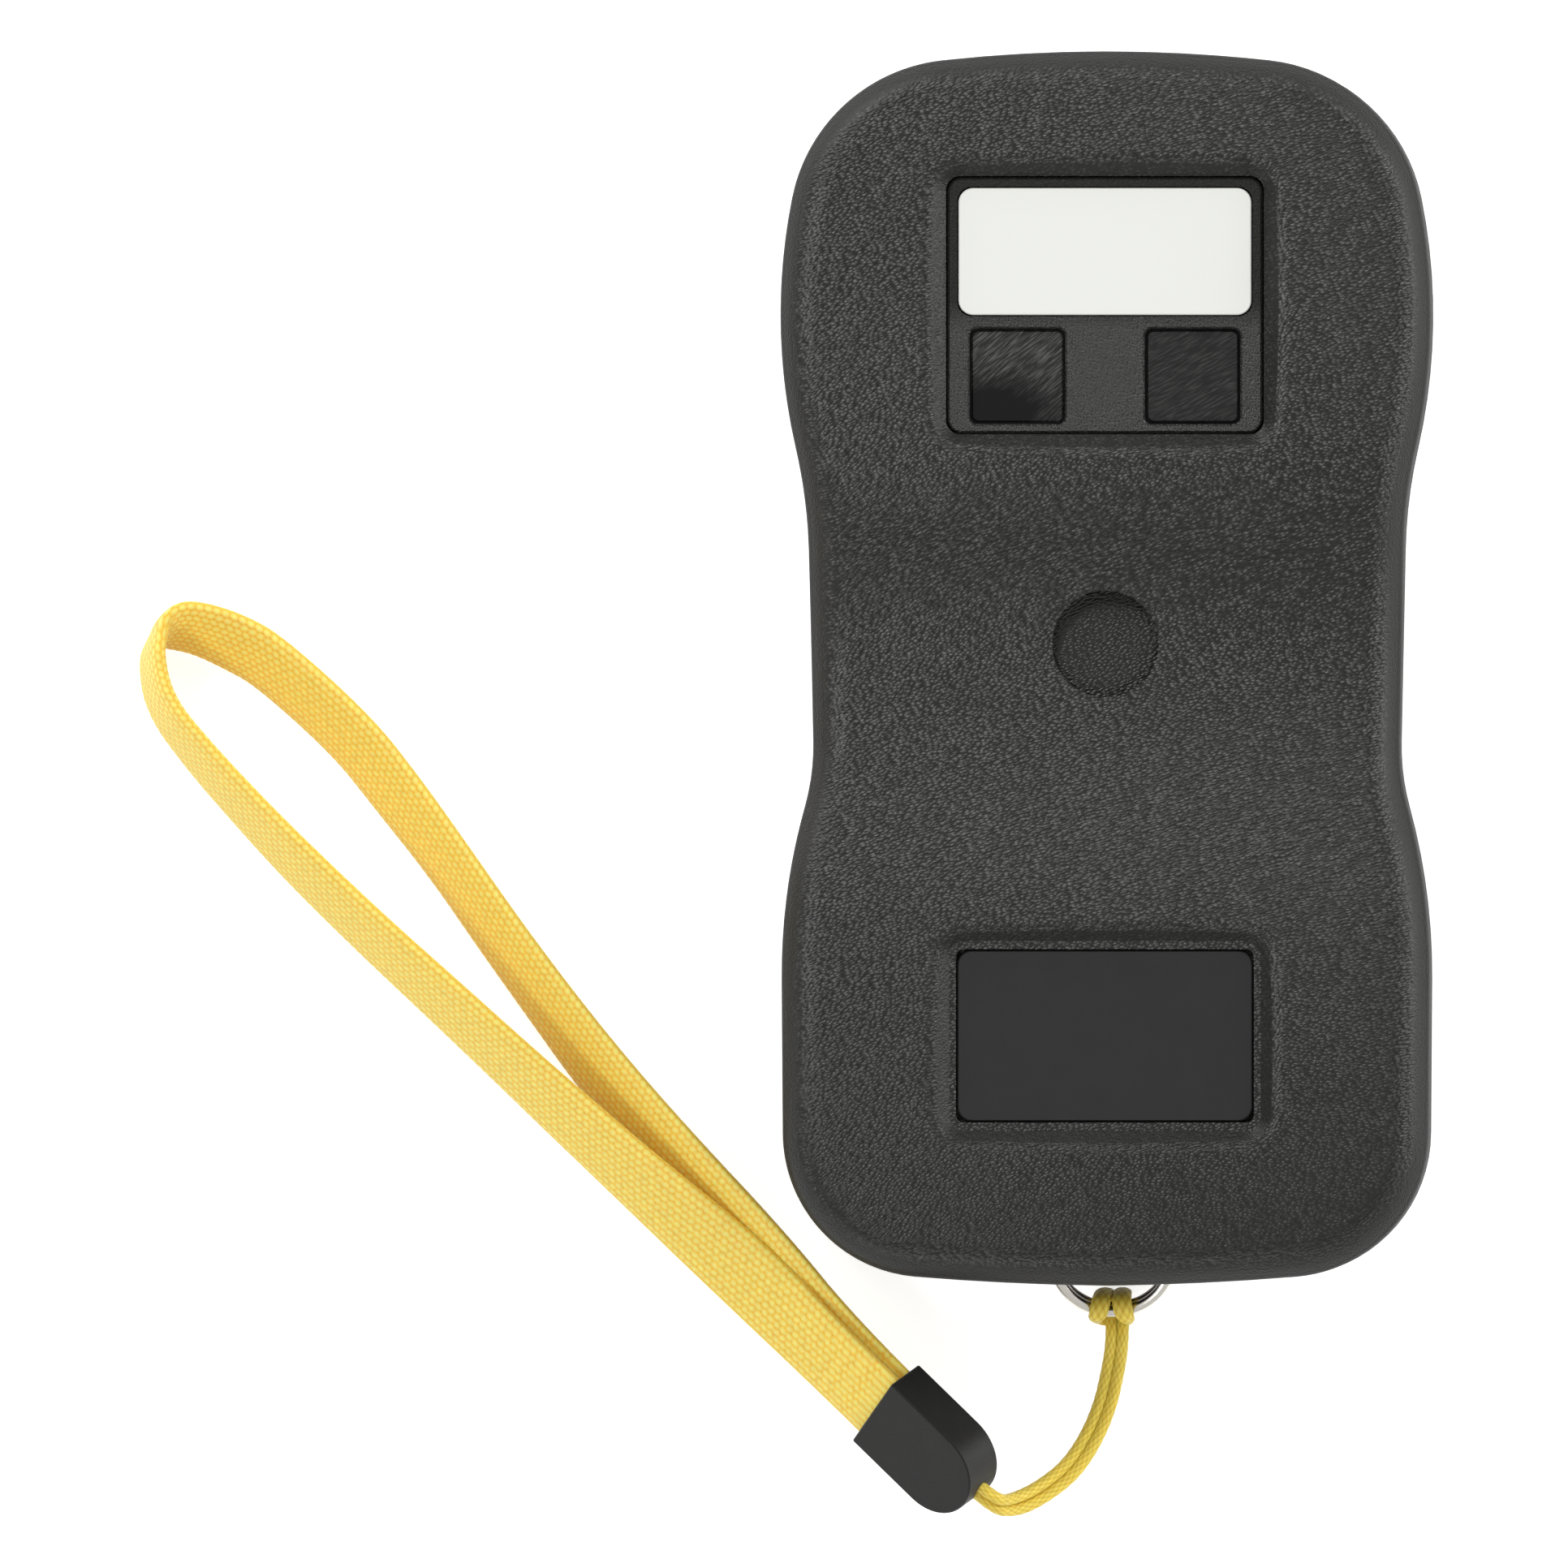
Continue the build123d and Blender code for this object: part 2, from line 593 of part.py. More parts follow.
    # groove for the housing seal
    with BuildSketch(Plane.XY.offset(PARTING_Z - GROOVE_DEPTH)):
        add(rim_band(GROOVE_INSET, GROOVE_INSET + GROOVE_WIDTH))
    extrude(amount=GROOVE_DEPTH, mode=Mode.SUBTRACT)
rear_housing.part.label = "rear_housing"
export_step(rear_housing.part, "parts/rear_housing.step")

# Soft seal that the tongue presses into the groove.
with BuildPart() as housing_seal:
    with BuildSketch(Plane.XY.offset(PARTING_Z - GROOVE_DEPTH)):
        add(rim_band(GROOVE_INSET + SEAL_PLAY / 2, GROOVE_INSET + GROOVE_WIDTH - SEAL_PLAY / 2))
    extrude(amount=GROOVE_DEPTH - TONGUE_DEPTH)
housing_seal.part.label = "housing_seal"
export_step(housing_seal.part, "parts/housing_seal.step")

# Keypad panel, glued on the ledge: a seat for the white plate over two square key openings.
with BuildPart() as front_panel:
    with BuildSketch(Plane.XY.offset(PANEL_SEAT_Z)):
        with Locations((0, PANEL_Y)):
            RectangleRounded(PANEL_WIDTH, PANEL_HEIGHT, PANEL_CORNER)
    extrude(amount=PANEL_THICKNESS)
    chamfer(front_panel.faces().sort_by(Axis.Z)[-1].edges(), length=PANEL_CHAMFER)
    with BuildSketch(Plane.XY.offset(PANEL_TOP_Z - PLATE_THICKNESS)):
        with Locations((0, PLATE_Y)):
            RectangleRounded(PLATE_WIDTH + SEAT_PLAY, PLATE_HEIGHT + SEAT_PLAY, PLATE_CORNER)
    extrude(amount=PLATE_THICKNESS, mode=Mode.SUBTRACT)
    with BuildSketch(Plane.XY.offset(PANEL_SEAT_Z)):
        with Locations((-KEY_X, KEY_Y), (KEY_X, KEY_Y)):
            RectangleRounded(KEY_OPENING, KEY_OPENING, KEY_CORNER)
    extrude(amount=PANEL_THICKNESS, mode=Mode.SUBTRACT)
    openings = front_panel.faces().sort_by(Axis.Z)[-1].inner_wires().sort_by(Axis.Y)[:2]
    chamfer(openings.edges(), length=KEY_CHAMFER)
front_panel.part.label = "front_panel"
export_step(front_panel.part, "parts/front_panel.step")

# Plain white plate in the panel's seat, standing a hair proud of it.
with BuildPart() as legend_plate:
    with BuildSketch(Plane.XY.offset(PANEL_TOP_Z - PLATE_THICKNESS)):
        with Locations((0, PLATE_Y)):
            RectangleRounded(PLATE_WIDTH, PLATE_HEIGHT, PLATE_CORNER)
    extrude(amount=PLATE_THICKNESS + PLATE_PROUD)
    chamfer(legend_plate.faces().sort_by(Axis.Z)[-1].edges(), length=PLATE_CHAMFER)
legend_plate.part.label = "legend_plate"
export_step(legend_plate.part, "parts/legend_plate.step")

# Plain black plate in the lower recess.
with BuildPart() as name_plate:
    with BuildSketch(Plane.XY.offset(NAME_SEAT_Z)):
        with Locations((0, NAME_Y)):
            RectangleRounded(NAME_WIDTH, NAME_HEIGHT, NAME_CORNER)
    extrude(amount=NAME_THICKNESS)
    chamfer(name_plate.faces().sort_by(Axis.Z)[-1].edges(), length=NAME_CHAMFER)
name_plate.part.label = "name_plate"
export_step(name_plate.part, "parts/name_plate.step")

# Silicone frame glued under the panel: it carries the two webs that spring the keys back.
with BuildPart() as key_mat:
    with BuildSketch(Plane.XY.offset(MAT_Z)):
        with Locations((0, KEY_Y)):
            RectangleRounded(MAT_WIDTH, MAT_HEIGHT, MAT_CORNER)
        with Locations((-KEY_X, KEY_Y), (KEY_X, KEY_Y)):
            RectangleRounded(MAT_OPENING, MAT_OPENING, KEY_CORNER, mode=Mode.SUBTRACT)
    extrude(amount=PANEL_SEAT_Z - MAT_Z)
key_mat.part.label = "key_mat"
export_step(key_mat.part, "parts/key_mat.step")

# Each key: cap with a flange under the panel and a stem on the switch, its web, switch and plunger.
for side_name, key_x in (("left", -KEY_X), ("right", KEY_X)):
    with BuildPart() as key:
        with BuildSketch(Plane.XY.offset(KEY_BOTTOM_Z)):
            with Locations((key_x, KEY_Y)):
                RectangleRounded(KEY_SIZE, KEY_SIZE, KEY_CORNER)
        extrude(amount=KEY_TOP_Z - KEY_BOTTOM_Z)
        chamfer(key.faces().sort_by(Axis.Z)[-1].edges(), length=KEY_CHAMFER)
        with BuildSketch(Plane.XY.offset(KEY_BOTTOM_Z)):
            with Locations((key_x, KEY_Y)):
                RectangleRounded(KEY_FLANGE, KEY_FLANGE, KEY_CORNER)
        extrude(amount=KEY_FLANGE_THICKNESS)
        with BuildSketch(Plane.XY.offset(PLUNGER_TOP_Z)):
            with Locations((key_x, KEY_Y)):
                Circle(KEY_STEM / 2)
        extrude(amount=KEY_BOTTOM_Z - PLUNGER_TOP_Z)
    key.part.label = side_name + "_key"
    export_step(key.part, f"parts/{side_name}_key.step")

    with BuildPart() as web:
        with BuildSketch(Plane.XY.offset(MAT_Z)):
            with Locations((key_x, KEY_Y)):
                RectangleRounded(MAT_OPENING, MAT_OPENING, KEY_CORNER)
                RectangleRounded(WEB_INNER, WEB_INNER, KEY_CORNER, mode=Mode.SUBTRACT)
        extrude(amount=KEY_BOTTOM_Z - MAT_Z)
    web.part.label = side_name + "_key_web"
    export_step(web.part, f"parts/{side_name}_key_web.step")

    with BuildPart() as switch:
        with BuildSketch(Plane.XY.offset(BOARD_TOP_Z)):
            with Locations((key_x, KEY_Y)):
                Rectangle(SWITCH_SIZE, SWITCH_SIZE)
        extrude(amount=SWITCH_HEIGHT)
        with BuildSketch(Plane.XY.offset(BOARD_TOP_Z + SWITCH_FLOOR)):
            with Locations((key_x, KEY_Y)):
                Circle(PLUNGER_DIAMETER / 2 + PLUNGER_PLAY)
        extrude(amount=SWITCH_HEIGHT, mode=Mode.SUBTRACT)
        with BuildSketch(Plane.XY.offset(BOARD_TOP_Z)):
            with Locations((key_x, KEY_Y)):
                with GridLocations(SWITCH_SIZE + SWITCH_LEG_REACH, SWITCH_LEG_PITCH, 2, 2):
                    Rectangle(*SWITCH_LEG)
        extrude(amount=LEG_THICKNESS)
    switch.part.label = side_name + "_switch"
    export_step(switch.part, f"parts/{side_name}_switch.step")

    with BuildPart() as plunger:
        with BuildSketch(Plane.XY.offset(PLUNGER_TOP_Z - PLUNGER_LENGTH)):
            with Locations((key_x, KEY_Y)):
                Circle(PLUNGER_DIAMETER / 2)
        extrude(amount=PLUNGER_LENGTH)
    plunger.part.label = side_name + "_switch_plunger"
    export_step(plunger.part, f"parts/{side_name}_switch_plunger.step")

# Circuit board: a wide part under the keys and a tongue for the antenna between the bosses.
with BuildPart() as circuit_board:
    with BuildSketch(Plane.XY.offset(BOARD_Z)):
        with Locations((0, BOARD_LOW_Y)):
            Rectangle(BOARD_WIDTH, BOARD_HIGH_Y - BOARD_LOW_Y, align=(Align.CENTER, Align.MIN))
            Rectangle(BOARD_TONGUE_WIDTH, BOARD_TONGUE_Y - BOARD_LOW_Y, align=(Align.CENTER, Align.MIN))
    extrude(amount=BOARD_THICKNESS)
    with Locations(*[(x, y, BOARD_TOP_Z) for x, y in BOARD_SCREWS]):
        Hole(BOARD_SCREW_SHANK / 2 + CLEAR_PLAY, depth=BOARD_THICKNESS)
circuit_board.part.label = "circuit_board"
export_step(circuit_board.part, "parts/circuit_board.step")

# Antenna: a flat strip folded to and fro on the board's tongue.
with BuildPart() as antenna:
    with BuildSketch(Plane.XY.offset(BOARD_TOP_Z)):
        with BuildLine():
            path = [(-ANTENNA_X, ANTENNA_LOW_Y)]
            for turn in range(ANTENNA_TURNS):
                x = -ANTENNA_X + turn * ANTENNA_PITCH
                ends = (ANTENNA_HIGH_Y, ANTENNA_LOW_Y + ANTENNA_STEP)
                path += [(x, ends[turn % 2]), (x + ANTENNA_PITCH, ends[turn % 2])]
            Polyline(*path)
        trace(line_width=ANTENNA_WIDTH)
    extrude(amount=ANTENNA_THICKNESS)
antenna.part.label = "antenna"
export_step(antenna.part, "parts/antenna.step")

# Radio module on the board's underside, under a pressed screening can.
with BuildPart() as radio_module:
    with BuildSketch(Plane.XY.offset(BOARD_Z - MODULE_THICKNESS)):
        with Locations(MODULE_PLACE):
            Rectangle(MODULE_WIDTH, MODULE_LENGTH)
    extrude(amount=MODULE_THICKNESS)
radio_module.part.label = "radio_module"
export_step(radio_module.part, "parts/radio_module.step")

with BuildPart() as shield_can:
    with BuildSketch(Plane.XY.offset(BOARD_Z - MODULE_THICKNESS - CAN_HEIGHT)):
        with Locations(MODULE_PLACE):
            RectangleRounded(CAN_WIDTH, CAN_LENGTH, CAN_CORNER)
    extrude(amount=CAN_HEIGHT)
    offset(amount=-CAN_SHEET, openings=shield_can.faces().sort_by(Axis.Z)[-1])
    with BuildSketch(Plane.XY.offset(BOARD_Z - MODULE_THICKNESS - CAN_HEIGHT)):
        with Locations(MODULE_PLACE):
            with GridLocations(CAN_WIDTH / 2, CAN_LENGTH / 2, 2, 2):
                Circle(CAN_VENT / 2)
    extrude(amount=2 * CAN_SHEET, mode=Mode.SUBTRACT)
shield_can.part.label = "shield_can"
export_step(shield_can.part, "parts/shield_can.step")

# Control chip with gull-wing legs on two sides.
with BuildPart() as control_chip:
    with BuildSketch(Plane.XY.offset(BOARD_Z - CHIP_THICKNESS)):
        with Locations(CHIP_PLACE):
            Rectangle(CHIP_SIZE, CHIP_SIZE)
    extrude(amount=CHIP_THICKNESS - CHIP_STANDOFF)
    with BuildSketch(Plane.XY.offset(BOARD_Z - LEG_THICKNESS)):
        with Locations(CHIP_PLACE):
            with GridLocations(CHIP_SIZE, CHIP_LEG_PITCH, 2, CHIP_LEGS):
                Rectangle(*CHIP_LEG)
    extrude(amount=LEG_THICKNESS)
control_chip.part.label = "control_chip"
export_step(control_chip.part, "parts/control_chip.step")

# Four small screws that hold the board to its posts.
with BuildPart() as board_screws:
    with BuildSketch(Plane.XY.offset(BOARD_Z - BOARD_SCREW_HEAD_HEIGHT)):
        with Locations(*BOARD_SCREWS):
            Circle(BOARD_SCREW_HEAD / 2)
    extrude(amount=BOARD_SCREW_HEAD_HEIGHT)
    with BuildSketch(Plane.XY.offset(BOARD_Z)):
        with Locations(*BOARD_SCREWS):
            Circle(BOARD_SCREW_SHANK / 2)
    extrude(amount=BOARD_SCREW_LENGTH)
board_screws.part.label = "board_screws"
export_step(board_screws.part, "parts/board_screws.step")

# Brass inserts in the front bosses, and the four screws that reach them from the back.
with BuildPart() as housing_inserts:
    with BuildSketch(Plane.XY.offset(PARTING_Z + CLEAR_PLAY)):
        with Locations(*HOUSING_SCREWS):
            Circle(INSERT_DIAMETER / 2)
            Circle(SCREW_SHANK / 2 + SHANK_PLAY, mode=Mode.SUBTRACT)
    extrude(amount=INSERT_LENGTH)
housing_inserts.part.label = "housing_inserts"
export_step(housing_inserts.part, "parts/housing_inserts.step")

with BuildPart() as housing_screws:
    with BuildSketch(Plane.XY.offset(SCREW_SEAT_Z - SCREW_HEAD_HEIGHT)):
        with Locations(*HOUSING_SCREWS):
            Circle(SCREW_HEAD / 2)
    extrude(amount=SCREW_HEAD_HEIGHT)
    chamfer(housing_screws.faces().sort_by(Axis.Z)[:4].edges(), length=SCREW_HEAD_CHAMFER)
    with BuildSketch(Plane.XY.offset(SCREW_SEAT_Z - SCREW_HEAD_HEIGHT)):
        with Locations(*HOUSING_SCREWS):
            RegularPolygon(SCREW_SOCKET / 2, 6)
    extrude(amount=SCREW_SOCKET_DEPTH, mode=Mode.SUBTRACT)
    with BuildSketch(Plane.XY.offset(SCREW_SEAT_Z)):
        with Locations(*HOUSING_SCREWS):
            Circle(SCREW_SHANK / 2)
    extrude(amount=PARTING_Z + INSERT_LENGTH - SCREW_SEAT_Z)
housing_screws.part.label = "housing_screws"
export_step(housing_screws.part, "parts/housing_screws.step")

# Two AA cells side by side, one each way round.
with BuildPart() as battery_cells:
    for cell_x, way in ((-CELL_X, 1), (CELL_X, -1)):
        base = Plane((cell_x, BOX_Y - way * CELL_LENGTH / 2, CELL_Z), z_dir=(0, way, 0))
        with BuildSketch(base):
            Circle(CELL_DIAMETER / 2)
        extrude(amount=CELL_LENGTH)
        with BuildSketch(base.offset(CELL_LENGTH)):
            Circle(CELL_NUB / 2)
        extrude(amount=CELL_NUB_HEIGHT)
battery_cells.part.label = "battery_cells"
export_step(battery_cells.part, "parts/battery_cells.step")

# Contacts: a bridge across the bottom end, and two plates at the top end with strips to the board.
with BuildPart() as battery_contacts:
    with BuildSketch(Plane.XZ.offset(-BOX_LOW_Y - CONTACT_THICKNESS)):
        with Locations((0, CELL_Z)):
            Rectangle(2 * CELL_X + CONTACT_SIZE, CONTACT_SIZE)
    extrude(amount=CONTACT_THICKNESS)
    for cell_x in (-CELL_X, CELL_X):
        with BuildSketch(Plane.XZ.offset(-BOX_HIGH_Y)):
            with Locations((cell_x, STRIP_Z + CONTACT_THICKNESS)):
                Rectangle(CONTACT_SIZE, CONTACT_SIZE, align=(Align.CENTER, Align.MAX))
        extrude(amount=CONTACT_THICKNESS)
        with BuildSketch(Plane.XY.offset(STRIP_Z)):
            with Locations((cell_x, BOX_HIGH_Y - CONTACT_THICKNESS)):
                Rectangle(STRIP_WIDTH, STRIP_LENGTH, align=(Align.CENTER, Align.MIN))
        extrude(amount=CONTACT_THICKNESS)
    # sprung tongues that press on the cells
    for tongue_x, tongue_y, way in (
        (-CELL_X, BOX_LOW_Y + CONTACT_THICKNESS, 1),
        (CELL_X, BOX_LOW_Y + CONTACT_THICKNESS, 1),
        (-CELL_X, BOX_HIGH_Y - CONTACT_THICKNESS, -1),
        (CELL_X, BOX_HIGH_Y - CONTACT_THICKNESS, -1),
    ):
        nub_end = (way < 0) == (tongue_x < 0)
        reach = (BOX_HEIGHT - CELL_LENGTH) / 2 - CONTACT_THICKNESS - SPRING_GAP
        if nub_end:
            reach -= CELL_NUB_HEIGHT
        with BuildSketch(Plane.YZ.offset(tongue_x)):
            with BuildLine():
                Polyline(
                    (tongue_y, CELL_Z + SPRING_TOP),
                    (tongue_y + way * reach, CELL_Z + SPRING_PAD),
                    (tongue_y + way * reach, CELL_Z - SPRING_PAD),
                    (tongue_y + way * SPRING_SHEET, CELL_Z - SPRING_PAD),
                    (tongue_y, CELL_Z + SPRING_ROOT),
                    close=True,
                )
            make_face()
        extrude(amount=SPRING_WIDTH / 2, both=True)
battery_contacts.part.label = "battery_contacts"
export_step(battery_contacts.part, "parts/battery_contacts.step")

# Battery cover, flush with the back: two hooks at the bottom end and two screws at the top end.
with BuildPart() as battery_cover:
    with BuildSketch():
        with Locations((0, COVER_Y)):
            RectangleRounded(COVER_WIDTH, COVER_HEIGHT, COVER_CORNER)
    extrude(amount=COVER_THICKNESS)
    chamfer(battery_cover.faces().sort_by(Axis.Z)[0].edges(), length=COVER_CHAMFER)
    with BuildSketch(Plane.XY.offset(HOOK_Z + HOOK_GAP)):
        with Locations((-COVER_HOOK_X, COVER_LOW_Y), (COVER_HOOK_X, COVER_LOW_Y)):
            Rectangle(HOOK_WIDTH, 2 * HOOK_REACH)
    extrude(amount=COVER_THICKNESS - HOOK_Z - HOOK_GAP)
    with Locations(*[Location((x, y, 0), (180, 0, 0)) for x, y in COVER_SCREWS]):
        CounterBoreHole(
            COVER_SCREW_SHANK / 2 + CLEAR_PLAY,
            COVER_SCREW_HEAD / 2 + CLEAR_PLAY,
            COVER_SCREW_SEAT,
            depth=COVER_THICKNESS,
        )
battery_cover.part.label = "battery_cover"
export_step(battery_cover.part, "parts/battery_cover.step")

with BuildPart() as cover_seal:
    with BuildSketch(Plane.XY.offset(COVER_THICKNESS)):
        with Locations((0, BOX_Y)):
            RectangleRounded(
                BOX_WIDTH + 2 * SEAL_OUTER - SEAL_PLAY,
                BOX_HEIGHT + 2 * SEAL_OUTER - SEAL_PLAY,
                SEAL_OUTER_CORNER - SEAL_PLAY,
            )
            RectangleRounded(
                BOX_WIDTH + 2 * SEAL_INNER + SEAL_PLAY,
                BOX_HEIGHT + 2 * SEAL_INNER + SEAL_PLAY,
                SEAL_INNER_CORNER + SEAL_PLAY,
                mode=Mode.SUBTRACT,
            )
    extrude(amount=COVER_SEAL_THICKNESS)
cover_seal.part.label = "cover_seal"
export_step(cover_seal.part, "parts/cover_seal.step")

with BuildPart() as cover_inserts:
    with BuildSketch(Plane.XY.offset(COVER_THICKNESS + CLEAR_PLAY)):
        with Locations(*COVER_SCREWS):
            Circle(COVER_INSERT_DIAMETER / 2)
            Circle(COVER_SCREW_SHANK / 2 + SHANK_PLAY, mode=Mode.SUBTRACT)
    extrude(amount=COVER_INSERT_LENGTH)
cover_inserts.part.label = "cover_inserts"
export_step(cover_inserts.part, "parts/cover_inserts.step")

with BuildPart() as cover_screws:
    with BuildSketch(Plane.XY.offset(COVER_SCREW_SUNK)):
        with Locations(*COVER_SCREWS):
            Circle(COVER_SCREW_HEAD / 2)
            RegularPolygon(COVER_SCREW_SOCKET / 2, 6, mode=Mode.SUBTRACT)
    extrude(amount=COVER_SCREW_HEAD_HEIGHT)
    with BuildSketch(Plane.XY.offset(COVER_SCREW_HEAD_HEIGHT - CLEAR_PLAY)):
        with Locations(*COVER_SCREWS):
            Circle(COVER_SCREW_SHANK / 2)
    extrude(amount=COVER_SCREW_LENGTH)
cover_screws.part.label = "cover_screws"
export_step(cover_screws.part, "parts/cover_screws.step")

# Split ring in the eye: two flat coils of wire, one on the other, each with its cut end.
tilt = math.radians(RING_TILT)
ring_mean = (RING_DIAMETER - RING_RADIAL) / 2
down_slope = Vector(0, -math.cos(tilt), -math.sin(tilt))
ring_up = Vector(0, -math.sin(tilt), math.cos(tilt))
ring_centre = Vector(RING_X, EYE_Y, EYE_Z) + down_slope * math.sqrt(ring_mean**2 - RING_X**2)
with BuildPart() as split_ring:
    with BuildSketch(Plane(ring_centre, x_dir=(1, 0, 0), z_dir=down_slope)):
        with Locations((ring_mean, 0)):
            for coil in (-1, 1):
                with Locations((0, coil * RING_AXIAL / 4)):
                    RegularPolygon(RING_AXIAL / 4, 8, major_radius=False, rotation=22.5)
            Rectangle(RING_RADIAL - RING_WAIST, RING_AXIAL / 2)
    revolve(axis=Axis(ring_centre, ring_up))
    for coil, turn in RING_CUT_TURNS.items():
        with BuildSketch(Plane(ring_centre, x_dir=(1, 0, 0), z_dir=ring_up).rotated((0, 0, turn))):
            with Locations((ring_mean, 0)):
                Rectangle(2 * RING_RADIAL, RING_CUT)
        extrude(amount=coil * RING_AXIAL, mode=Mode.SUBTRACT)
split_ring.part.label = "split_ring"
export_step(split_ring.part, "parts/split_ring.step")

# Moulded clamp: a flat block with one full round end, rolled over on its lower back edge.
clamp_plane = Plane(CLAMP_START, x_dir=CLAMP_AXIS, z_dir=CLAMP_FACE)
level = clamp_plane.x_dir.cross(Vector(0, 0, 1)).normalized()
cord_side = level.rotate(Axis((0, 0, 0), clamp_plane.x_dir), CORD_ROLLS[0])
cord_exit = Vector(*CLAMP_START) - clamp_plane.z_dir * CORD_EXIT_BACK
cord_plane = Plane(cord_exit, x_dir=cord_side, z_dir=clamp_plane.x_dir)
with BuildPart() as strap_clamp:
    with BuildSketch(clamp_plane):
        with Locations((CLAMP_LENGTH - CLAMP_WIDTH / 2, 0)):
            Circle(CLAMP_WIDTH / 2)
            Rectangle(CLAMP_LENGTH - CLAMP_WIDTH / 2, CLAMP_WIDTH, align=(Align.MAX, Align.CENTER))
    extrude(amount=CLAMP_THICKNESS / 2, both=True)
    chamfer(strap_clamp.edges(), length=CLAMP_EDGE)
    with BuildSketch(clamp_plane):
        Rectangle(2 * CLAMP_SLOT_DEPTH, WEBBING_WIDTH + SEAT_PLAY)
    extrude(amount=WEBBING_THICKNESS + CLAMP_SLOT_PLAY, both=True, mode=Mode.SUBTRACT)
    with BuildSketch(cord_plane.offset(CLAMP_LENGTH - CORD_HOLE_DEPTH)):
        SlotOverall(CORD_HOLE_LENGTH, CORD_HOLE_WIDTH)
    extrude(amount=CORD_HOLE_DEPTH + CLAMP_EDGE, mode=Mode.SUBTRACT)
strap_clamp.part.label = "strap_clamp"
export_step(strap_clamp.part, "parts/strap_clamp.step")


def bend_radii(points):
    """For each inner point, 0.45 of its shorter run over the tangent of half the turn."""
    radii = []
    for before, here, after in zip(points, points[1:], points[2:]):
        first, second = here - before, after - here
        half_turn = math.radians(first.get_angle(second)) / 2
        radii.append(0.45 * min(first.length, second.length) / math.tan(half_turn))
    return radii


# Webbing route, from inside the clamp round the wrist loop and back: x, y and lean. Lean is the
# angle in degrees from upright, to the left of the way the webbing runs.
AWAY = -clamp_plane.x_dir
LAYER = clamp_plane.z_dir * (WEBBING_THICKNESS + WEBBING_GAP) / 2
WEBBING_ROUTE = [
    (-40.7, -67.05, -46),
    (-52.0, -56.6, -42),
    (-60.3, -48.75, -38),
    (-66.6, -43.4, -31),
    (-74.0, -36.5, -29),
    (-81.6, -29.55, -26),
    (-89.4, -22.05, -23),
    (-95.1, -16.0, -20),
    (-100.8, -9.7, -17),
    (-104.9, -4.3, -13),
    (-106.4, 0.2, -8),
    (-106.0, 4.3, 5),
    (-103.8, 5.0, 22),
    (-100.3, 4.3, 31),
    (-96.6, 2.9, 34),
    (-91.6, -0.5, 34),
    (-84.2, -7.6, 33),
    (-78.9, -13.6, 31.5),
    (-73.2, -21.4, 30),
    (-67.6, -29.3, 29.5),
    (-62.0, -37.1, 31),
    (-56.0, -45.0, 33),
    (-48.6, -53.4, 38),
    (-38.5, -64.9, 44),
]


def webbing_height(lean):
    """Height of the middle of webbing that stands on its lower edge with this lean."""
    angle = math.radians(lean)
    standing = math.cos(angle) * WEBBING_WIDTH + abs(math.sin(angle)) * WEBBING_THICKNESS
    return WEBBING_LIFT + standing / 2


clamp_mouth = Vector(*CLAMP_START)
middle_points = [
    clamp_mouth - AWAY * WEBBING_HOLD + LAYER,
    clamp_mouth + AWAY * WEBBING_LEAD + LAYER,
    *[Vector(x, y, webbing_height(lean)) for x, y, lean in WEBBING_ROUTE],
    clamp_mouth + AWAY * WEBBING_LEAD - LAYER,
    clamp_mouth - AWAY * WEBBING_HOLD - LAYER,
]
leans = [-CLAMP_LEAN, -CLAMP_LEAN, *[row[2] for row in WEBBING_ROUTE], CLAMP_LEAN, CLAMP_LEAN]
webbing_radii = bend_radii(middle_points)
with BuildLine() as webbing_path:
    FilletPolyline(*middle_points, radius=webbing_radii)
webbing_line = webbing_path.wire()

with BuildPart() as wrist_strap:
    travelled = [0.0]
    for here, there in zip(middle_points, middle_points[1:]):
        travelled.append(travelled[-1] + (there - here).length)
    for step in range(WEBBING_SECTIONS + 1):
        share = step / WEBBING_SECTIONS
        run = max(i for i, d in enumerate(travelled[:-1]) if d <= share * travelled[-1])
        part_way = (share * travelled[-1] - travelled[run]) / (travelled[run + 1] - travelled[run])
        lean = math.radians(leans[run] + part_way * (leans[run + 1] - leans[run]))
        ahead = webbing_line.tangent_at(share)
        left = Vector(-ahead.Y, ahead.X, 0).normalized()
        across = Vector(0, 0, math.cos(lean)) + left * math.sin(lean)
        with BuildSketch(Plane(webbing_line.position_at(share), x_dir=across, z_dir=ahead)):
            Rectangle(WEBBING_WIDTH, WEBBING_THICKNESS)
    loft(ruled=True)
wrist_strap.part.label = "wrist_strap"
export_step(wrist_strap.part, "parts/wrist_strap.step")

# Cord route, from inside the clamp to the ring: the middle of the two strands, then each strand's
# own turn up through the ring and over its wire.
CORD_ROUTE = [
    (-7.6, -92.5, 4.2),
    (-3.5, -88.7, 1.4),
    (-0.4, -82.9, 0.84),
    (0.95, -76.9, 0.8),
    (1.07, -73.5, 0.92),
]
WRAP_TURNS = [-60, 0, 60, 120, 180]
STRAND_XS = {-1: [0.35, 0.2, -0.3, -0.75, -0.95], 1: [1.75, 1.8, 1.9, 2.0, 2.1]}
cord_start = cord_exit - AWAY * (CLAMP_LENGTH - CORD_HOLD)
cord_mouth = cord_exit - AWAY * (CLAMP_LENGTH + CORD_LEAD)
middle = [cord_start, cord_mouth, *[Vector(*point) for point in CORD_ROUTE]]
wire = ring_centre + down_slope * ring_mean
corner = CORD_WRAP / math.cos(math.radians(30))
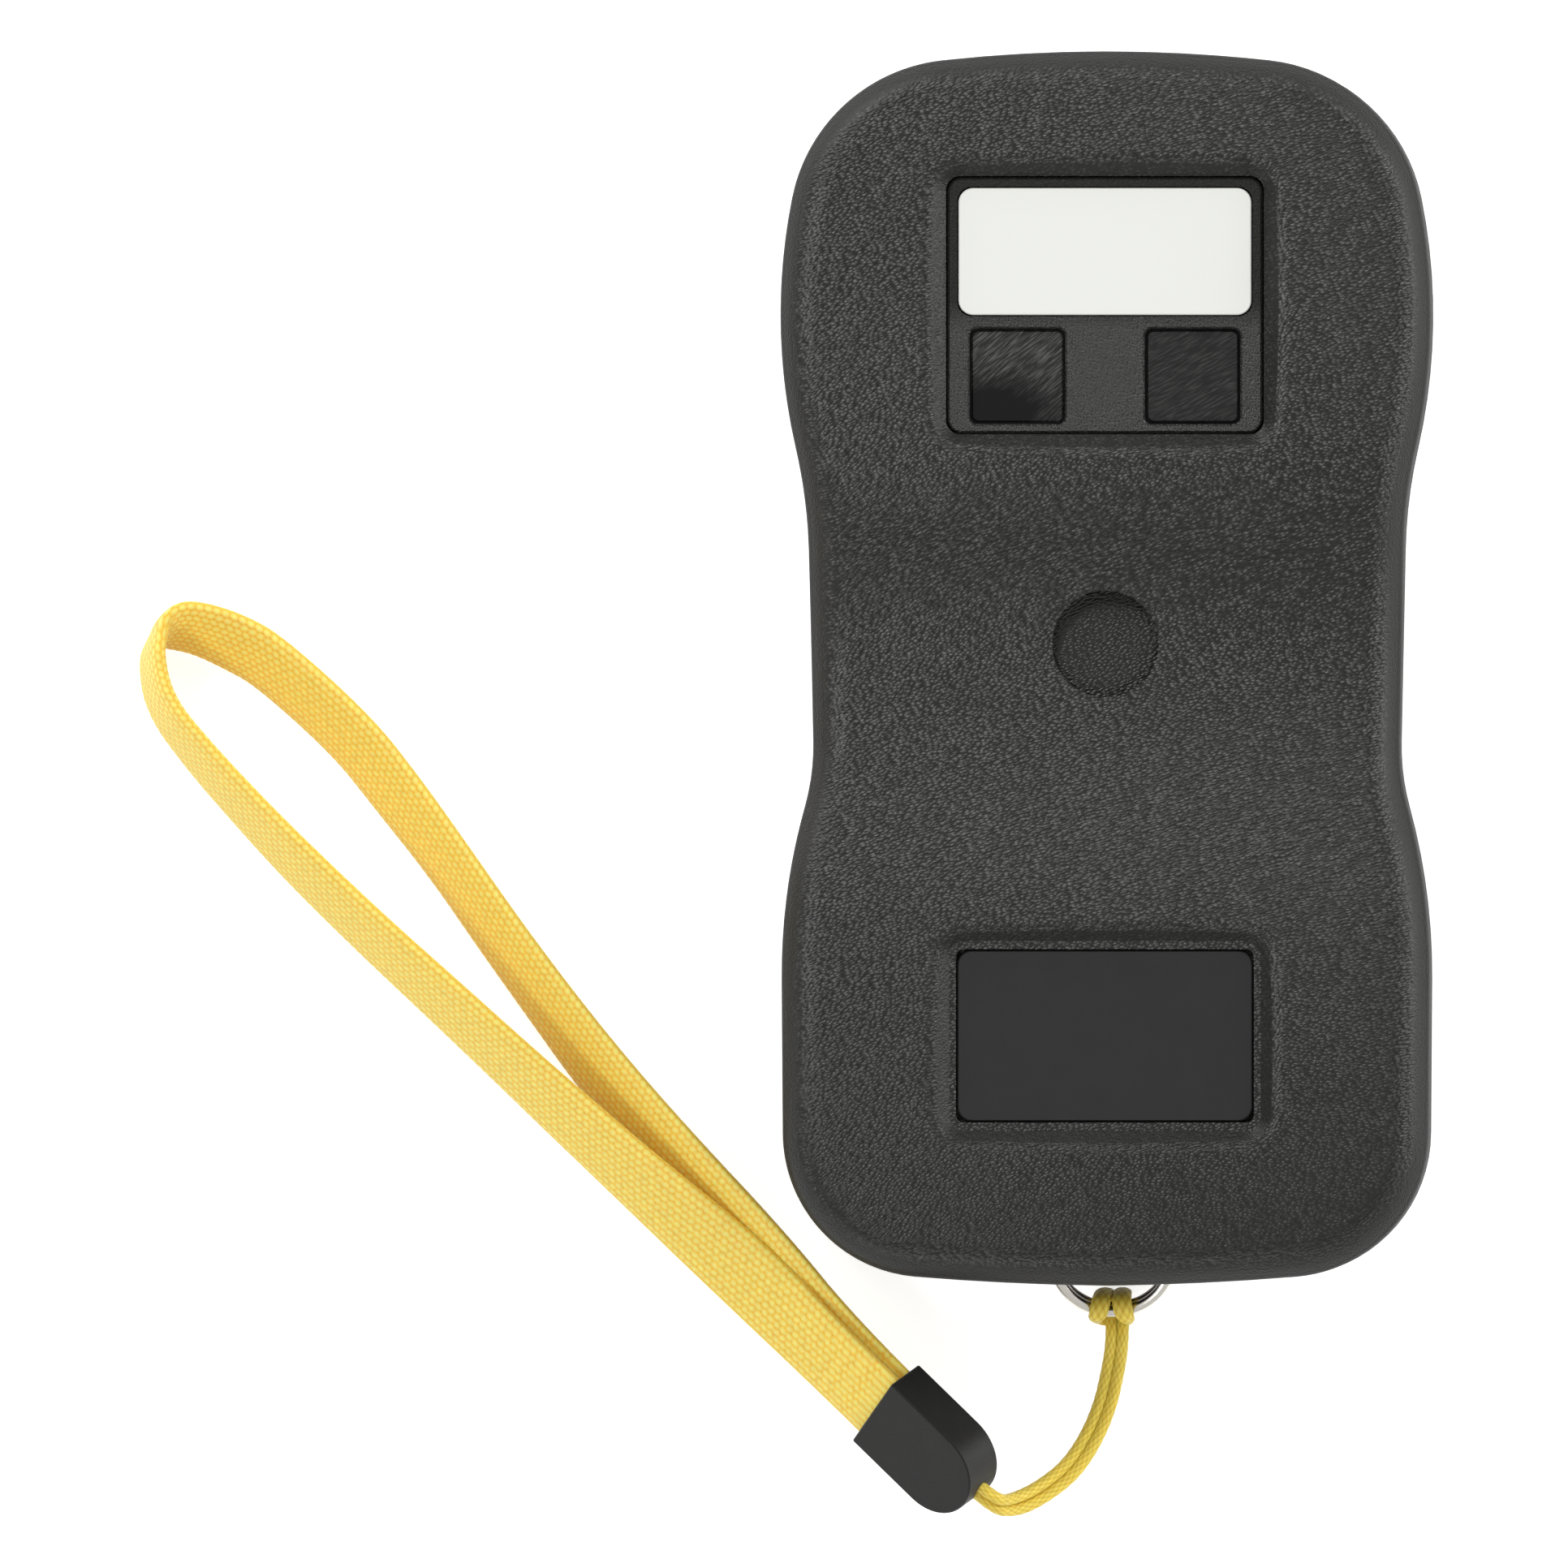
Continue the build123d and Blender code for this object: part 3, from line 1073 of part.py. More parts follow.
with BuildPart() as strap_cord:
    for side in (-1, 1):
        strand = []
        for index, point in enumerate(middle):
            ahead = middle[min(index + 1, len(middle) - 1)] - middle[max(index - 1, 0)]
            across = ahead.cross(Vector(0, 0, 1)).normalized()
            across = across.rotate(Axis((0, 0, 0), ahead), CORD_ROLLS[index])
            strand.append(point + across * side * CORD_PITCH / 2)
        for turn, x in zip(WRAP_TURNS, STRAND_XS[side]):
            angle = math.radians(turn)
            strand.append(Vector(x, wire.Y + corner * math.cos(angle), wire.Z + corner * math.sin(angle)))
        cord_radii = bend_radii(strand)
        with BuildLine() as strand_path:
            FilletPolyline(*strand, radius=cord_radii)
        strand_line = strand_path.wire()
        with BuildSketch(Plane(strand_line @ 0, z_dir=strand_line % 0)):
            RegularPolygon(CORD_DIAMETER / 2, CORD_SIDES)
        sweep(path=strand_line)
        print("cord strand", round(strand_line.length, 1), "radii", [round(r, 1) for r in cord_radii])
strap_cord.part.label = "strap_cord"
export_step(strap_cord.part, "parts/strap_cord.step")

webbing_solid = WEBBING_WIDTH * WEBBING_THICKNESS * webbing_line.length
print("webbing", round(webbing_line.length, 1), "radii", [round(r, 1) for r in webbing_radii])
print("webbing volume over section times length", round(wrist_strap.part.volume / webbing_solid, 4))
cord_section = CORD_SIDES / 2 * math.sin(math.tau / CORD_SIDES) * (CORD_DIAMETER / 2) ** 2
print("cord volume over section", round(strap_cord.part.volume / cord_section, 2))
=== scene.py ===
import math

import bpy
import numpy as np
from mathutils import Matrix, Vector


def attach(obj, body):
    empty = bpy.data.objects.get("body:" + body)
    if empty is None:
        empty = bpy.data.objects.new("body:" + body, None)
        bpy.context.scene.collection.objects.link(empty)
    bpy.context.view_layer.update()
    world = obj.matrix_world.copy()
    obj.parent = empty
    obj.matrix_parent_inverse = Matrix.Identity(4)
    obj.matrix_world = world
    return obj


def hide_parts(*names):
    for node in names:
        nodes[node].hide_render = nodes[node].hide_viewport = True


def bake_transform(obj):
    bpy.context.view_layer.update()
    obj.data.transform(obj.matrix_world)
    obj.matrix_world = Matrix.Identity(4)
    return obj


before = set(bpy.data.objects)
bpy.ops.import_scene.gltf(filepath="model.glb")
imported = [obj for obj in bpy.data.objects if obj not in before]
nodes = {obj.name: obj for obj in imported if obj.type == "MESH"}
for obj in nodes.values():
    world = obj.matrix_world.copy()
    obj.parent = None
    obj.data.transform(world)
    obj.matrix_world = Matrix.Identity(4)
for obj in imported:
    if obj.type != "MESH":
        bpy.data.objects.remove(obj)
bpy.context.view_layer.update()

# --- Housing -------------------------------------------------------------------------------------
# Two half shells of dark grey nylon, injection moulded in an etched tool. The face has a coarse
# leather grain, which fades to a fine one on the rounded edges, the recess slopes and the back.


def linear(hex_code):
    """The linear colour of an sRGB hex value."""
    channels = [int(hex_code[i : i + 2], 16) / 255 for i in (1, 3, 5)]
    return [c / 12.92 if c <= 0.04045 else ((c + 0.055) / 1.055) ** 2.4 for c in channels] + [1.0]


def add_node(tree, kind, inputs=None, **settings):
    """Adds a shader node, sets its settings and inputs, and links each input that is a socket."""
    made = tree.nodes.new(kind)
    for name, value in settings.items():
        setattr(made, name, value)
    for key, value in (inputs or {}).items():
        if isinstance(value, bpy.types.NodeSocket):
            tree.links.new(value, made.inputs[key])
        else:
            made.inputs[key].default_value = value
    return made


def new_material(name, **surface):
    """A material with one principled surface. Its settings are the surface's own sockets."""
    material = bpy.data.materials.new(name)
    material.use_nodes = True
    shader = material.node_tree.nodes["Principled BSDF"]
    for key, value in surface.items():
        shader.inputs[key.replace("_", " ")].default_value = value
    return material, material.node_tree, shader


def finish_node(name, material):
    """Gives a CAD piece its material."""
    for slot in nodes[name].material_slots:
        slot.material = material


def pebbles(tree, place, size, stretch, turn, space="3D"):
    """The cells of a field of pebbles, size across and longer by stretch along a diagonal at turn.

    Its Distance is the depth below each pebble's top, and its Color is one chance for each.
    """
    turned = add_node(tree, "ShaderNodeMapping", {"Vector": place, "Rotation": (0, 0, -turn)})
    squeezed = add_node(
        tree, "ShaderNodeMapping", {"Vector": turned.outputs[0], "Scale": (1 / stretch, 1.0, 1.0)}
    )
    return add_node(
        tree, "ShaderNodeTexVoronoi", {"Vector": squeezed.outputs[0], "Scale": 1 / size},
        voronoi_dimensions=space,
    )


COARSE_PEBBLE, FINE_PEBBLE = 0.00025, 0.00024
COARSE_DEPTH, FINE_DEPTH = (0.00011, 0.00014), 0.00005
PEBBLE_STRETCH = 2.4
PEBBLE_LIE = math.radians(24)
DISH_CENTRE = (0.0, 0.00266, 0.0)
DISH_BARE, DISH_EDGE = 0.0052, 0.0062
FADED_BELOW, FULL_ABOVE = -0.06, -0.02


def moulded_case(name, body_colours, glint_colour):
    """Etched nylon: pebbles with painted highlights on some tops, on a softly mottled dark grey."""
    material, tree, shader = new_material(name, IOR=1.45)
    place = add_node(tree, "ShaderNodeTexCoord").outputs["Object"]
    coarse = pebbles(tree, place, COARSE_PEBBLE, PEBBLE_STRETCH, PEBBLE_LIE, "2D")
    fine = pebbles(tree, place, FINE_PEBBLE, 1.0, 0.0).outputs["Distance"]
    # the leather grain is only on what faces up; the rest of the tool has the fine grain
    normal = add_node(tree, "ShaderNodeNewGeometry").outputs["Normal"]
    facing = add_node(tree, "ShaderNodeSeparateXYZ", {0: normal})
    upward = add_node(
        tree, "ShaderNodeMapRange", {"Value": facing.outputs["Z"], "From Min": 0.7, "From Max": 0.9}
    )
    # the coarse pebbles are a little deeper in some patches than in others
    patch = add_node(tree, "ShaderNodeTexNoise", {"Vector": place, "Scale": 600.0, "Detail": 1.0})
    swell = add_node(
        tree, "ShaderNodeMapRange",
        {
            "Value": patch.outputs[0], "From Min": 0.3, "From Max": 0.7,
            "To Min": COARSE_DEPTH[0], "To Max": COARSE_DEPTH[1],
        },
    )
    depth = add_node(
        tree, "ShaderNodeMix", {0: upward.outputs[0], 2: FINE_DEPTH, 3: swell.outputs[0]},
        data_type="FLOAT",
    )
    grain = add_node(
        tree, "ShaderNodeMix", {0: upward.outputs[0], 2: fine, 3: coarse.outputs["Distance"]},
        data_type="FLOAT",
    )
    height = add_node(
        tree, "ShaderNodeMath", {0: grain.outputs[0], 1: depth.outputs[0]}, operation="MULTIPLY"
    )
    bump = add_node(tree, "ShaderNodeBump", {"Height": height.outputs[0], "Distance": 1.0}, invert=True)
    tree.links.new(bump.outputs[0], shader.inputs["Normal"])
    # the flow of the plastic leaves it a little lighter and duller here and there
    flow = add_node(tree, "ShaderNodeTexNoise", {"Vector": place, "Scale": 70.0, "Detail": 4.0})
    shades = add_node(tree, "ShaderNodeMix", {0: flow.outputs[0]}, data_type="RGBA")
    shades.inputs[6].default_value = linear(body_colours[0])
    shades.inputs[7].default_value = linear(body_colours[1])
    # painted highlights: some pebbles get a pale top, each one more or less so, as painted glints
    chance = add_node(tree, "ShaderNodeSeparateColor", {0: coarse.outputs["Color"]})
    rare = add_node(tree, "ShaderNodeMath", {0: chance.outputs[0], 1: 1.8}, operation="POWER")
    tops = add_node(
        tree, "ShaderNodeMapRange",
        {
            "Value": coarse.outputs["Distance"], "From Min": 0.05, "From Max": 0.5,
            "To Min": 1.0, "To Max": 0.0,
        },
    )
    painted_sheen = add_node(
        tree, "ShaderNodeMath", {0: tops.outputs[0], 1: rare.outputs[0]}, operation="MULTIPLY"
    )
    # the painted glints fade to the lower end and leave out the dish, fitted to the photo's tones
    along = add_node(tree, "ShaderNodeSeparateXYZ", {0: place})
    fading = add_node(
        tree, "ShaderNodeMapRange",
        {
            "Value": along.outputs["Y"], "From Min": FADED_BELOW, "From Max": FULL_ABOVE,
            "To Min": 0.3, "To Max": 1.0,
        },
    )
    flat = add_node(tree, "ShaderNodeMapping", {"Vector": place, "Scale": (1.0, 1.0, 0.0)})
    from_dish = add_node(
        tree, "ShaderNodeVectorMath", {0: flat.outputs[0], 1: DISH_CENTRE}, operation="DISTANCE"
    )
    outside = add_node(
        tree, "ShaderNodeMapRange",
        {"Value": from_dish.outputs["Value"], "From Min": DISH_BARE, "From Max": DISH_EDGE},
    )
    shared = add_node(
        tree, "ShaderNodeMath", {0: outside.outputs[0], 1: fading.outputs[0]}, operation="MULTIPLY"
    )
    faced = add_node(
        tree, "ShaderNodeMath", {0: upward.outputs[0], 1: shared.outputs[0]}, operation="MULTIPLY"
    )
    # the painted highlights go on the face only
    glints = add_node(
        tree, "ShaderNodeMath", {0: painted_sheen.outputs[0], 1: faced.outputs[0]}, operation="MULTIPLY"
    )
    glinted = add_node(
        tree, "ShaderNodeMix", {0: glints.outputs[0], 6: shades.outputs[2]}, data_type="RGBA"
    )
    glinted.inputs[7].default_value = linear(glint_colour)
    tree.links.new(glinted.outputs[2], shader.inputs["Base Color"])
    # steep walls reflect much less than the face, fitted to the photo's tones
    sheen = add_node(
        tree, "ShaderNodeMapRange",
        {"Value": facing.outputs["Z"], "From Min": 0.35, "From Max": 0.8, "To Min": 0.06, "To Max": 0.5},
    )
    tree.links.new(sheen.outputs[0], shader.inputs["Specular IOR Level"])
    # the fine grain on the sides is duller than the leather grain
    base = add_node(
        tree, "ShaderNodeMapRange", {"Value": upward.outputs[0], "To Min": 0.42, "To Max": 0.27}
    )
    dull = add_node(
        tree, "ShaderNodeMath", {0: flow.outputs[0], 1: 0.08, 2: base.outputs[0]},
        operation="MULTIPLY_ADD",
    )
    tree.links.new(dull.outputs[0], shader.inputs["Roughness"])
    return material


# 6C6C67 is the colour of the painted highlights on the pebble tops
leather_nylon = moulded_case("moulded_nylon_leather_grain", ("#171715", "#1C1C1A"), "#6C6C67")
for name in ("front_housing", "rear_housing", "battery_cover"):
    finish_node(name, leather_nylon)

# --- Keypad panel ---------------------------------------------------------------------------------
# A frame of the same dark grey plastic with a fine spark-eroded surface, glued into the recess. It
# holds a white label plate of sprayed acrylic.


def fine_grained(name, colour, grain, depth, roughness, ior=1.5):
    """Moulded plastic or silicone with a fine even grain, from a spark-eroded tool."""
    material, tree, shader = new_material(name, IOR=ior, Roughness=roughness)
    shader.inputs["Base Color"].default_value = linear(colour)
    place = add_node(tree, "ShaderNodeTexCoord").outputs["Object"]
    height = pebbles(tree, place, grain, 1.0, 0.0, "2D").outputs["Distance"]
    bump = add_node(tree, "ShaderNodeBump", {"Height": height, "Distance": depth}, invert=True)
    tree.links.new(bump.outputs[0], shader.inputs["Normal"])
    wear = add_node(tree, "ShaderNodeTexNoise", {"Vector": place, "Scale": 400.0, "Detail": 3.0})
    dull = add_node(
        tree, "ShaderNodeMapRange",
        {"Value": wear.outputs[0], "To Min": roughness - 0.06, "To Max": roughness + 0.06},
    )
    tree.links.new(dull.outputs[0], shader.inputs["Roughness"])
    return material


panel_abs = fine_grained("spark_eroded_abs_panel", "#222220", 0.00028, 0.00012, 0.3, 1.46)
# the panel reflects more round the keys than beside the plate, fitted to the photo's tones
panel_tree = panel_abs.node_tree
panel_place = add_node(panel_tree, "ShaderNodeTexCoord").outputs["Object"]
panel_way = add_node(panel_tree, "ShaderNodeSeparateXYZ", {0: panel_place})
KEYS_END, PLATE_START = 0.0375, 0.0405
by_the_keys = add_node(
    panel_tree, "ShaderNodeMapRange",
    {
        "Value": panel_way.outputs["Y"], "From Min": KEYS_END, "From Max": PLATE_START,
        "To Min": 0.5, "To Max": 0.15,
    },
)
panel_surface = panel_tree.nodes["Principled BSDF"]
panel_tree.links.new(by_the_keys.outputs[0], panel_surface.inputs["Specular IOR Level"])
finish_node("front_panel", panel_abs)
finish_node("legend_plate", fine_grained("sprayed_acrylic_white", "#E6E7E2", 0.0006, 0.000002, 0.35))

# --- Keys -----------------------------------------------------------------------------------------
# Two square key caps of polished black acrylic, pushed straight in by a thumb. They are rubbed
# dull with fine diagonal scratches, apart from one glossy corner each. The rubbed part is painted
# paler in streaks, as a painted reflection, more so on the left key.


def polished_key(name, lie, clear_spot, sheen_tone):
    """Polished acrylic, rubbed dull except round clear_spot, with scratches that lie one way.

    The rubbed part is painted paler in streaks along the scratches, as a painted reflection.
    """
    material, tree, shader = new_material(name, IOR=1.49)
    place = add_node(tree, "ShaderNodeTexCoord").outputs["Object"]
    turned = add_node(tree, "ShaderNodeMapping", {"Vector": place, "Rotation": (0, 0, -lie)})
    # real scratches are some hundredths wide; these are as coarse as they need to be to show
    drawn = add_node(tree, "ShaderNodeMapping", {"Vector": turned.outputs[0], "Scale": (0.1, 1.0, 1.0)})
    scratches = add_node(
        tree, "ShaderNodeTexNoise", {"Vector": drawn.outputs[0], "Scale": 5000.0, "Detail": 3.0}
    )
    # how far a place is from the clear spot, with a ragged border
    ragged = add_node(
        tree, "ShaderNodeTexNoise", {"Vector": drawn.outputs[0], "Scale": 700.0, "Detail": 3.0}
    )
    flat = add_node(tree, "ShaderNodeMapping", {"Vector": place, "Scale": (0.5, 1.0, 0.0)})
    away = add_node(
        tree, "ShaderNodeVectorMath", {0: flat.outputs[0], 1: clear_spot}, operation="DISTANCE"
    )
    reach = add_node(
        tree, "ShaderNodeMath", {0: ragged.outputs[0], 1: 0.004, 2: away.outputs["Value"]},
        operation="MULTIPLY_ADD",
    )
    worn_and_sheen = add_node(
        tree, "ShaderNodeMapRange", {"Value": reach.outputs[0], "From Min": 0.0045, "From Max": 0.0075}
    )
    scratched = add_node(
        tree, "ShaderNodeMath", {0: scratches.outputs[0], 1: worn_and_sheen.outputs[0]}, operation="MULTIPLY"
    )
    bump = add_node(tree, "ShaderNodeBump", {"Height": scratched.outputs[0], "Distance": 0.00006})
    tree.links.new(bump.outputs[0], shader.inputs["Normal"])
    # painted reflection: pale streaks along the scratches in the rubbed part
    painted_sheen = add_node(
        tree, "ShaderNodeMapRange",
        {"Value": scratches.outputs[0], "From Min": 0.46, "From Max": 0.66, "To Min": 0.1},
    )
    rubbed_sheen = add_node(
        tree, "ShaderNodeMath", {0: painted_sheen.outputs[0], 1: worn_and_sheen.outputs[0]}, operation="MULTIPLY"
    )
    shades = add_node(tree, "ShaderNodeMix", {0: rubbed_sheen.outputs[0]}, data_type="RGBA")
    shades.inputs[6].default_value = linear("#151515")
    shades.inputs[7].default_value = linear(sheen_tone)
    tree.links.new(shades.outputs[2], shader.inputs["Base Color"])
    dull = add_node(tree, "ShaderNodeMapRange", {"Value": worn_and_sheen.outputs[0], "To Min": 0.1, "To Max": 0.3})
    tree.links.new(dull.outputs[0], shader.inputs["Roughness"])
    return material


# the left key's painted reflection is paler than the right key's
LEFT_CLEAR_SPOT, RIGHT_CLEAR_SPOT = (-0.00675, 0.028, 0.0), (0.01, 0.024, 0.0)
left_acrylic = polished_key("polished_acrylic_left", math.radians(40), LEFT_CLEAR_SPOT, "#565654")
right_acrylic = polished_key("polished_acrylic_right", math.radians(28), RIGHT_CLEAR_SPOT, "#363635")
finish_node("left_key", left_acrylic)
finish_node("right_key", right_acrylic)

# --- Name plate -----------------------------------------------------------------------------------
# A blank plate of satin black polycarbonate with a fine grain. It is pressed into the lower
# recess.

satin_plate = fine_grained("satin_polycarbonate_black", "#242424", 0.00015, 0.000004, 0.5, 1.42)
finish_node("name_plate", satin_plate)

# --- Silicone, board and battery ------------------------------------------------------------------
# What is inside: silicone mats and seals, a board and a radio module in solder mask, screws of
# plated steel, turned brass inserts, sprung contacts and two cells in a printed sleeve.

silicone = fine_grained("moulded_silicone_grey", "#6E6E6C", 0.0003, 0.000004, 0.6, 1.42)
for name in ("key_mat", "left_key_web", "right_key_web", "housing_seal", "cover_seal"):
    finish_node(name, silicone)

chip_epoxy = fine_grained("moulded_epoxy_black", "#161616", 0.00012, 0.000004, 0.5)
for name in (
    "left_switch", "right_switch", "left_switch_plunger", "right_switch_plunger", "control_chip",
):
    finish_node(name, chip_epoxy)


def printed_board(name, mask, track):
    """Solder mask over copper tracks: the tracks show through as lighter, slightly raised lines."""
    material, tree, shader = new_material(name, Roughness=0.3, IOR=1.5)
    place = add_node(tree, "ShaderNodeTexCoord").outputs["Object"]
    tracks = add_node(
        tree, "ShaderNodeTexVoronoi", {"Vector": place, "Scale": 380.0, "Randomness": 0.25},
        feature="F1", distance="CHEBYCHEV",
    )
    edge = add_node(
        tree, "ShaderNodeMapRange",
        {"Value": tracks.outputs["Distance"], "From Min": 0.40, "From Max": 0.44},
    )
    shades = add_node(tree, "ShaderNodeMix", {0: edge.outputs[0]}, data_type="RGBA")
    shades.inputs[6].default_value = linear(mask)
    shades.inputs[7].default_value = linear(track)
    tree.links.new(shades.outputs[2], shader.inputs["Base Color"])
    bump = add_node(tree, "ShaderNodeBump", {"Height": edge.outputs[0], "Distance": 0.00003})
    tree.links.new(bump.outputs[0], shader.inputs["Normal"])
    return material


finish_node("circuit_board", printed_board("solder_mask_green", "#0F4A26", "#2A7A40"))
finish_node("radio_module", printed_board("solder_mask_blue", "#12305C", "#2C5590"))


def plated_metal(name, colours, roughness, stroke):
    """Plated or turned metal: a bright surface with fine marks, drawn out by 1 / stroke."""
    material, tree, shader = new_material(name, Roughness=roughness, Metallic=1.0)
    place = add_node(tree, "ShaderNodeTexCoord").outputs["Object"]
    drawn = add_node(tree, "ShaderNodeMapping", {"Vector": place, "Scale": stroke})
    marks = add_node(
        tree, "ShaderNodeTexNoise", {"Vector": drawn.outputs[0], "Scale": 2500.0, "Detail": 3.0}
    )
    bump = add_node(tree, "ShaderNodeBump", {"Height": marks.outputs[0], "Distance": 0.000004})
    tree.links.new(bump.outputs[0], shader.inputs["Normal"])
    tarnish_and_shade = add_node(tree, "ShaderNodeTexNoise", {"Vector": place, "Scale": 300.0, "Detail": 4.0})
    shades = add_node(tree, "ShaderNodeMix", {0: tarnish_and_shade.outputs[0]}, data_type="RGBA")
    shades.inputs[6].default_value = linear(colours[0])
    shades.inputs[7].default_value = linear(colours[1])
    tree.links.new(shades.outputs[2], shader.inputs["Base Color"])
    dull = add_node(
        tree, "ShaderNodeMapRange",
        {"Value": tarnish_and_shade.outputs[0], "To Min": roughness - 0.05, "To Max": roughness + 0.1},
    )
    tree.links.new(dull.outputs[0], shader.inputs["Roughness"])
    return material


zinc_steel = plated_metal("zinc_plated_steel", ("#A9ABAC", "#C9CBCB"), 0.3, (1.0, 1.0, 0.3))
for name in ("housing_screws", "cover_screws", "board_screws", "shield_can"):
    finish_node(name, zinc_steel)
turned_brass = plated_metal("turned_brass", ("#C9A052", "#E0BE74"), 0.3, (0.3, 0.3, 1.0))
for name in ("housing_inserts", "cover_inserts", "antenna"):
    finish_node(name, turned_brass)
sprung_nickel = plated_metal("nickel_plated_spring_steel", ("#C4C2BC", "#DAD8D2"), 0.22, (1.0, 1.0, 0.3))
finish_node("battery_contacts", sprung_nickel)
finish_node("battery_cells", fine_grained("printed_cell_sleeve", "#2A2C33", 0.0004, 0.000003, 0.25))

# --- Split ring -----------------------------------------------------------------------------------
# Two turns of flat spring wire, nickel plated. The wire steps from one turn to the other and ends
# in square cuts. The ring hangs tilted in the eye of the housing.

EYE = Vector((0.00045, -0.05965, 0.0091))
RING_SLOPE = math.radians(27)
RING_MEAN = 0.0065
WIRE_RADIAL, WIRE_AXIAL = 0.00125, 0.00105
WIRE_START, WIRE_END = math.radians(75), math.radians(75 + 712)
STEP_START, STEP_TURN = math.radians(75 + 335), math.radians(42)


def rounded_outline(half_width, half_height, power, sides):
    """Evenly spaced unit points of a section between an ellipse, power 2, and a box."""
    turn = np.linspace(0, math.tau, 4001)
    x = np.sign(np.cos(turn)) * np.abs(np.cos(turn)) ** (2 / power)
    y = np.sign(np.sin(turn)) * np.abs(np.sin(turn)) ** (2 / power)
    way = np.concatenate([[0], np.cumsum(np.hypot(np.diff(x) * half_width, np.diff(y) * half_height))])
    even = np.linspace(0, way[-1], sides, endpoint=False)
    return np.stack([np.interp(even, way, x), np.interp(even, way, y)], axis=1), way[-1]


def tube_mesh(name, rings):
    """A closed smooth tube through rings of points, with a flat cap on each end."""
    count, sides = rings.shape[:2]
    ring = np.arange(sides)
    start = (np.arange(count - 1) * sides)[:, None]
    after = (ring + 1) % sides
    faces = np.stack([start + ring, start + after, start + sides + after, start + sides + ring], axis=2)
    caps = [ring[::-1].tolist(), (ring + (count - 1) * sides).tolist()]
    mesh = bpy.data.meshes.new(name)
    mesh.from_pydata(rings.reshape(-1, 3).tolist(), [], faces.reshape(-1, 4).tolist() + caps)
    mesh.polygons.foreach_set("use_smooth", [True] * (len(mesh.polygons) - 2) + [False] * 2)
    made = bpy.data.objects.new(name, mesh)
    bpy.context.scene.collection.objects.link(made)
    return made


down_slope = np.array([0.0, -math.cos(RING_SLOPE), -math.sin(RING_SLOPE)])
ring_up = np.array([0.0, -math.sin(RING_SLOPE), math.cos(RING_SLOPE)])
ring_centre = np.array(EYE) + down_slope * math.sqrt(RING_MEAN**2 - EYE.x**2)
# the wire starts where the ring is hidden in the housing, and steps up near the end of one turn
turns = np.linspace(WIRE_START, WIRE_END, 360)
step = np.clip((turns - STEP_START) / STEP_TURN, 0, 1)
rise = (step * step * (3 - 2 * step) - 0.5) * WIRE_AXIAL
outward = np.cos(turns)[:, None] * np.array([1.0, 0, 0]) - np.sin(turns)[:, None] * down_slope
wire_outline, _ = rounded_outline(WIRE_RADIAL / 2, WIRE_AXIAL / 2, 2.5, 28)
wire_points = wire_outline * np.array([WIRE_RADIAL / 2, WIRE_AXIAL / 2])
ring_rings = (
    ring_centre
    + outward[:, None, :] * (RING_MEAN + wire_points[None, :, :1])
    + ring_up * (rise[:, None, None] + wire_points[None, :, 1:])
)
split_ring = tube_mesh("nickel_split_ring", ring_rings)
inner_side = np.tile(np.clip(-wire_points[:, 0] / WIRE_RADIAL * 6 - 2, 0, 1), len(turns))
split_ring.data.attributes.new("tarnish_and_shade", "FLOAT", "POINT").data.foreach_set("value", inner_side)
bright_nickel = plated_metal("bright_nickel_plate", ("#DEDAD0", "#ECE8E0"), 0.2, (1.0, 1.0, 1.0))
# painted shade: the wire's inner side, which faces the housing, is painted dark brown
ring_tree = bright_nickel.node_tree
ring_surface = ring_tree.nodes["Principled BSDF"].inputs["Base Color"]
# how far each point lies on the inner side, where the painted shade goes
inside = add_node(ring_tree, "ShaderNodeAttribute", attribute_name="tarnish_and_shade")
inner_shaded = add_node(
    ring_tree, "ShaderNodeMix",
    {0: inside.outputs["Fac"], 6: ring_surface.links[0].from_socket}, data_type="RGBA",
)
inner_shaded.inputs[7].default_value = linear("#4E443E")
ring_tree.links.new(inner_shaded.outputs[2], ring_surface)
split_ring.data.materials.append(bright_nickel)
finish_node("split_ring", bright_nickel)
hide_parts("split_ring")
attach(split_ring, "ring")

# --- Strap clamp ----------------------------------------------------------------------------------
# A block of satin black acetal, moulded round the strap's two ends and drilled for the cord.

CLAMP_MOUTH = Vector((-0.02478, -0.08153, 0.00565))
CLAMP_AXIS = Vector((0.710, -0.687, 0.154)).normalized()
CLAMP_FACE = Vector((-0.558, -0.416, 0.718)).normalized()
CLAMP_LENGTH = 0.0146

finish_node("strap_clamp", fine_grained("moulded_acetal_satin", "#1A1A19", 0.00016, 0.000012, 0.5, 1.37))

# --- Cord -----------------------------------------------------------------------------------------
# Braided polyester cord, doubled, looped round the ring with a lark's head and held in the clamp.
# It is one cord: down one strand, through the ring, round it twice, and back up the other strand.


def spline_points(points, per_run):
    """Points along the smooth line that has these control points."""
    curve = bpy.data.curves.new("route", "CURVE")
    curve.dimensions = "3D"
    curve.resolution_u = per_run
    spline = curve.splines.new("NURBS")
    spline.points.add(len(points) - 1)
    for slot, point in zip(spline.points, points):
        slot.co = (*point, 1.0)
    spline.order_u = 3
    spline.use_endpoint_u = True
    holder = bpy.data.objects.new("route", curve)
    line = bpy.data.meshes.new_from_object(holder)
    found = np.array([v.co for v in line.vertices])
    bpy.data.objects.remove(holder)
    bpy.data.curves.remove(curve)
    bpy.data.meshes.remove(line)
    return found


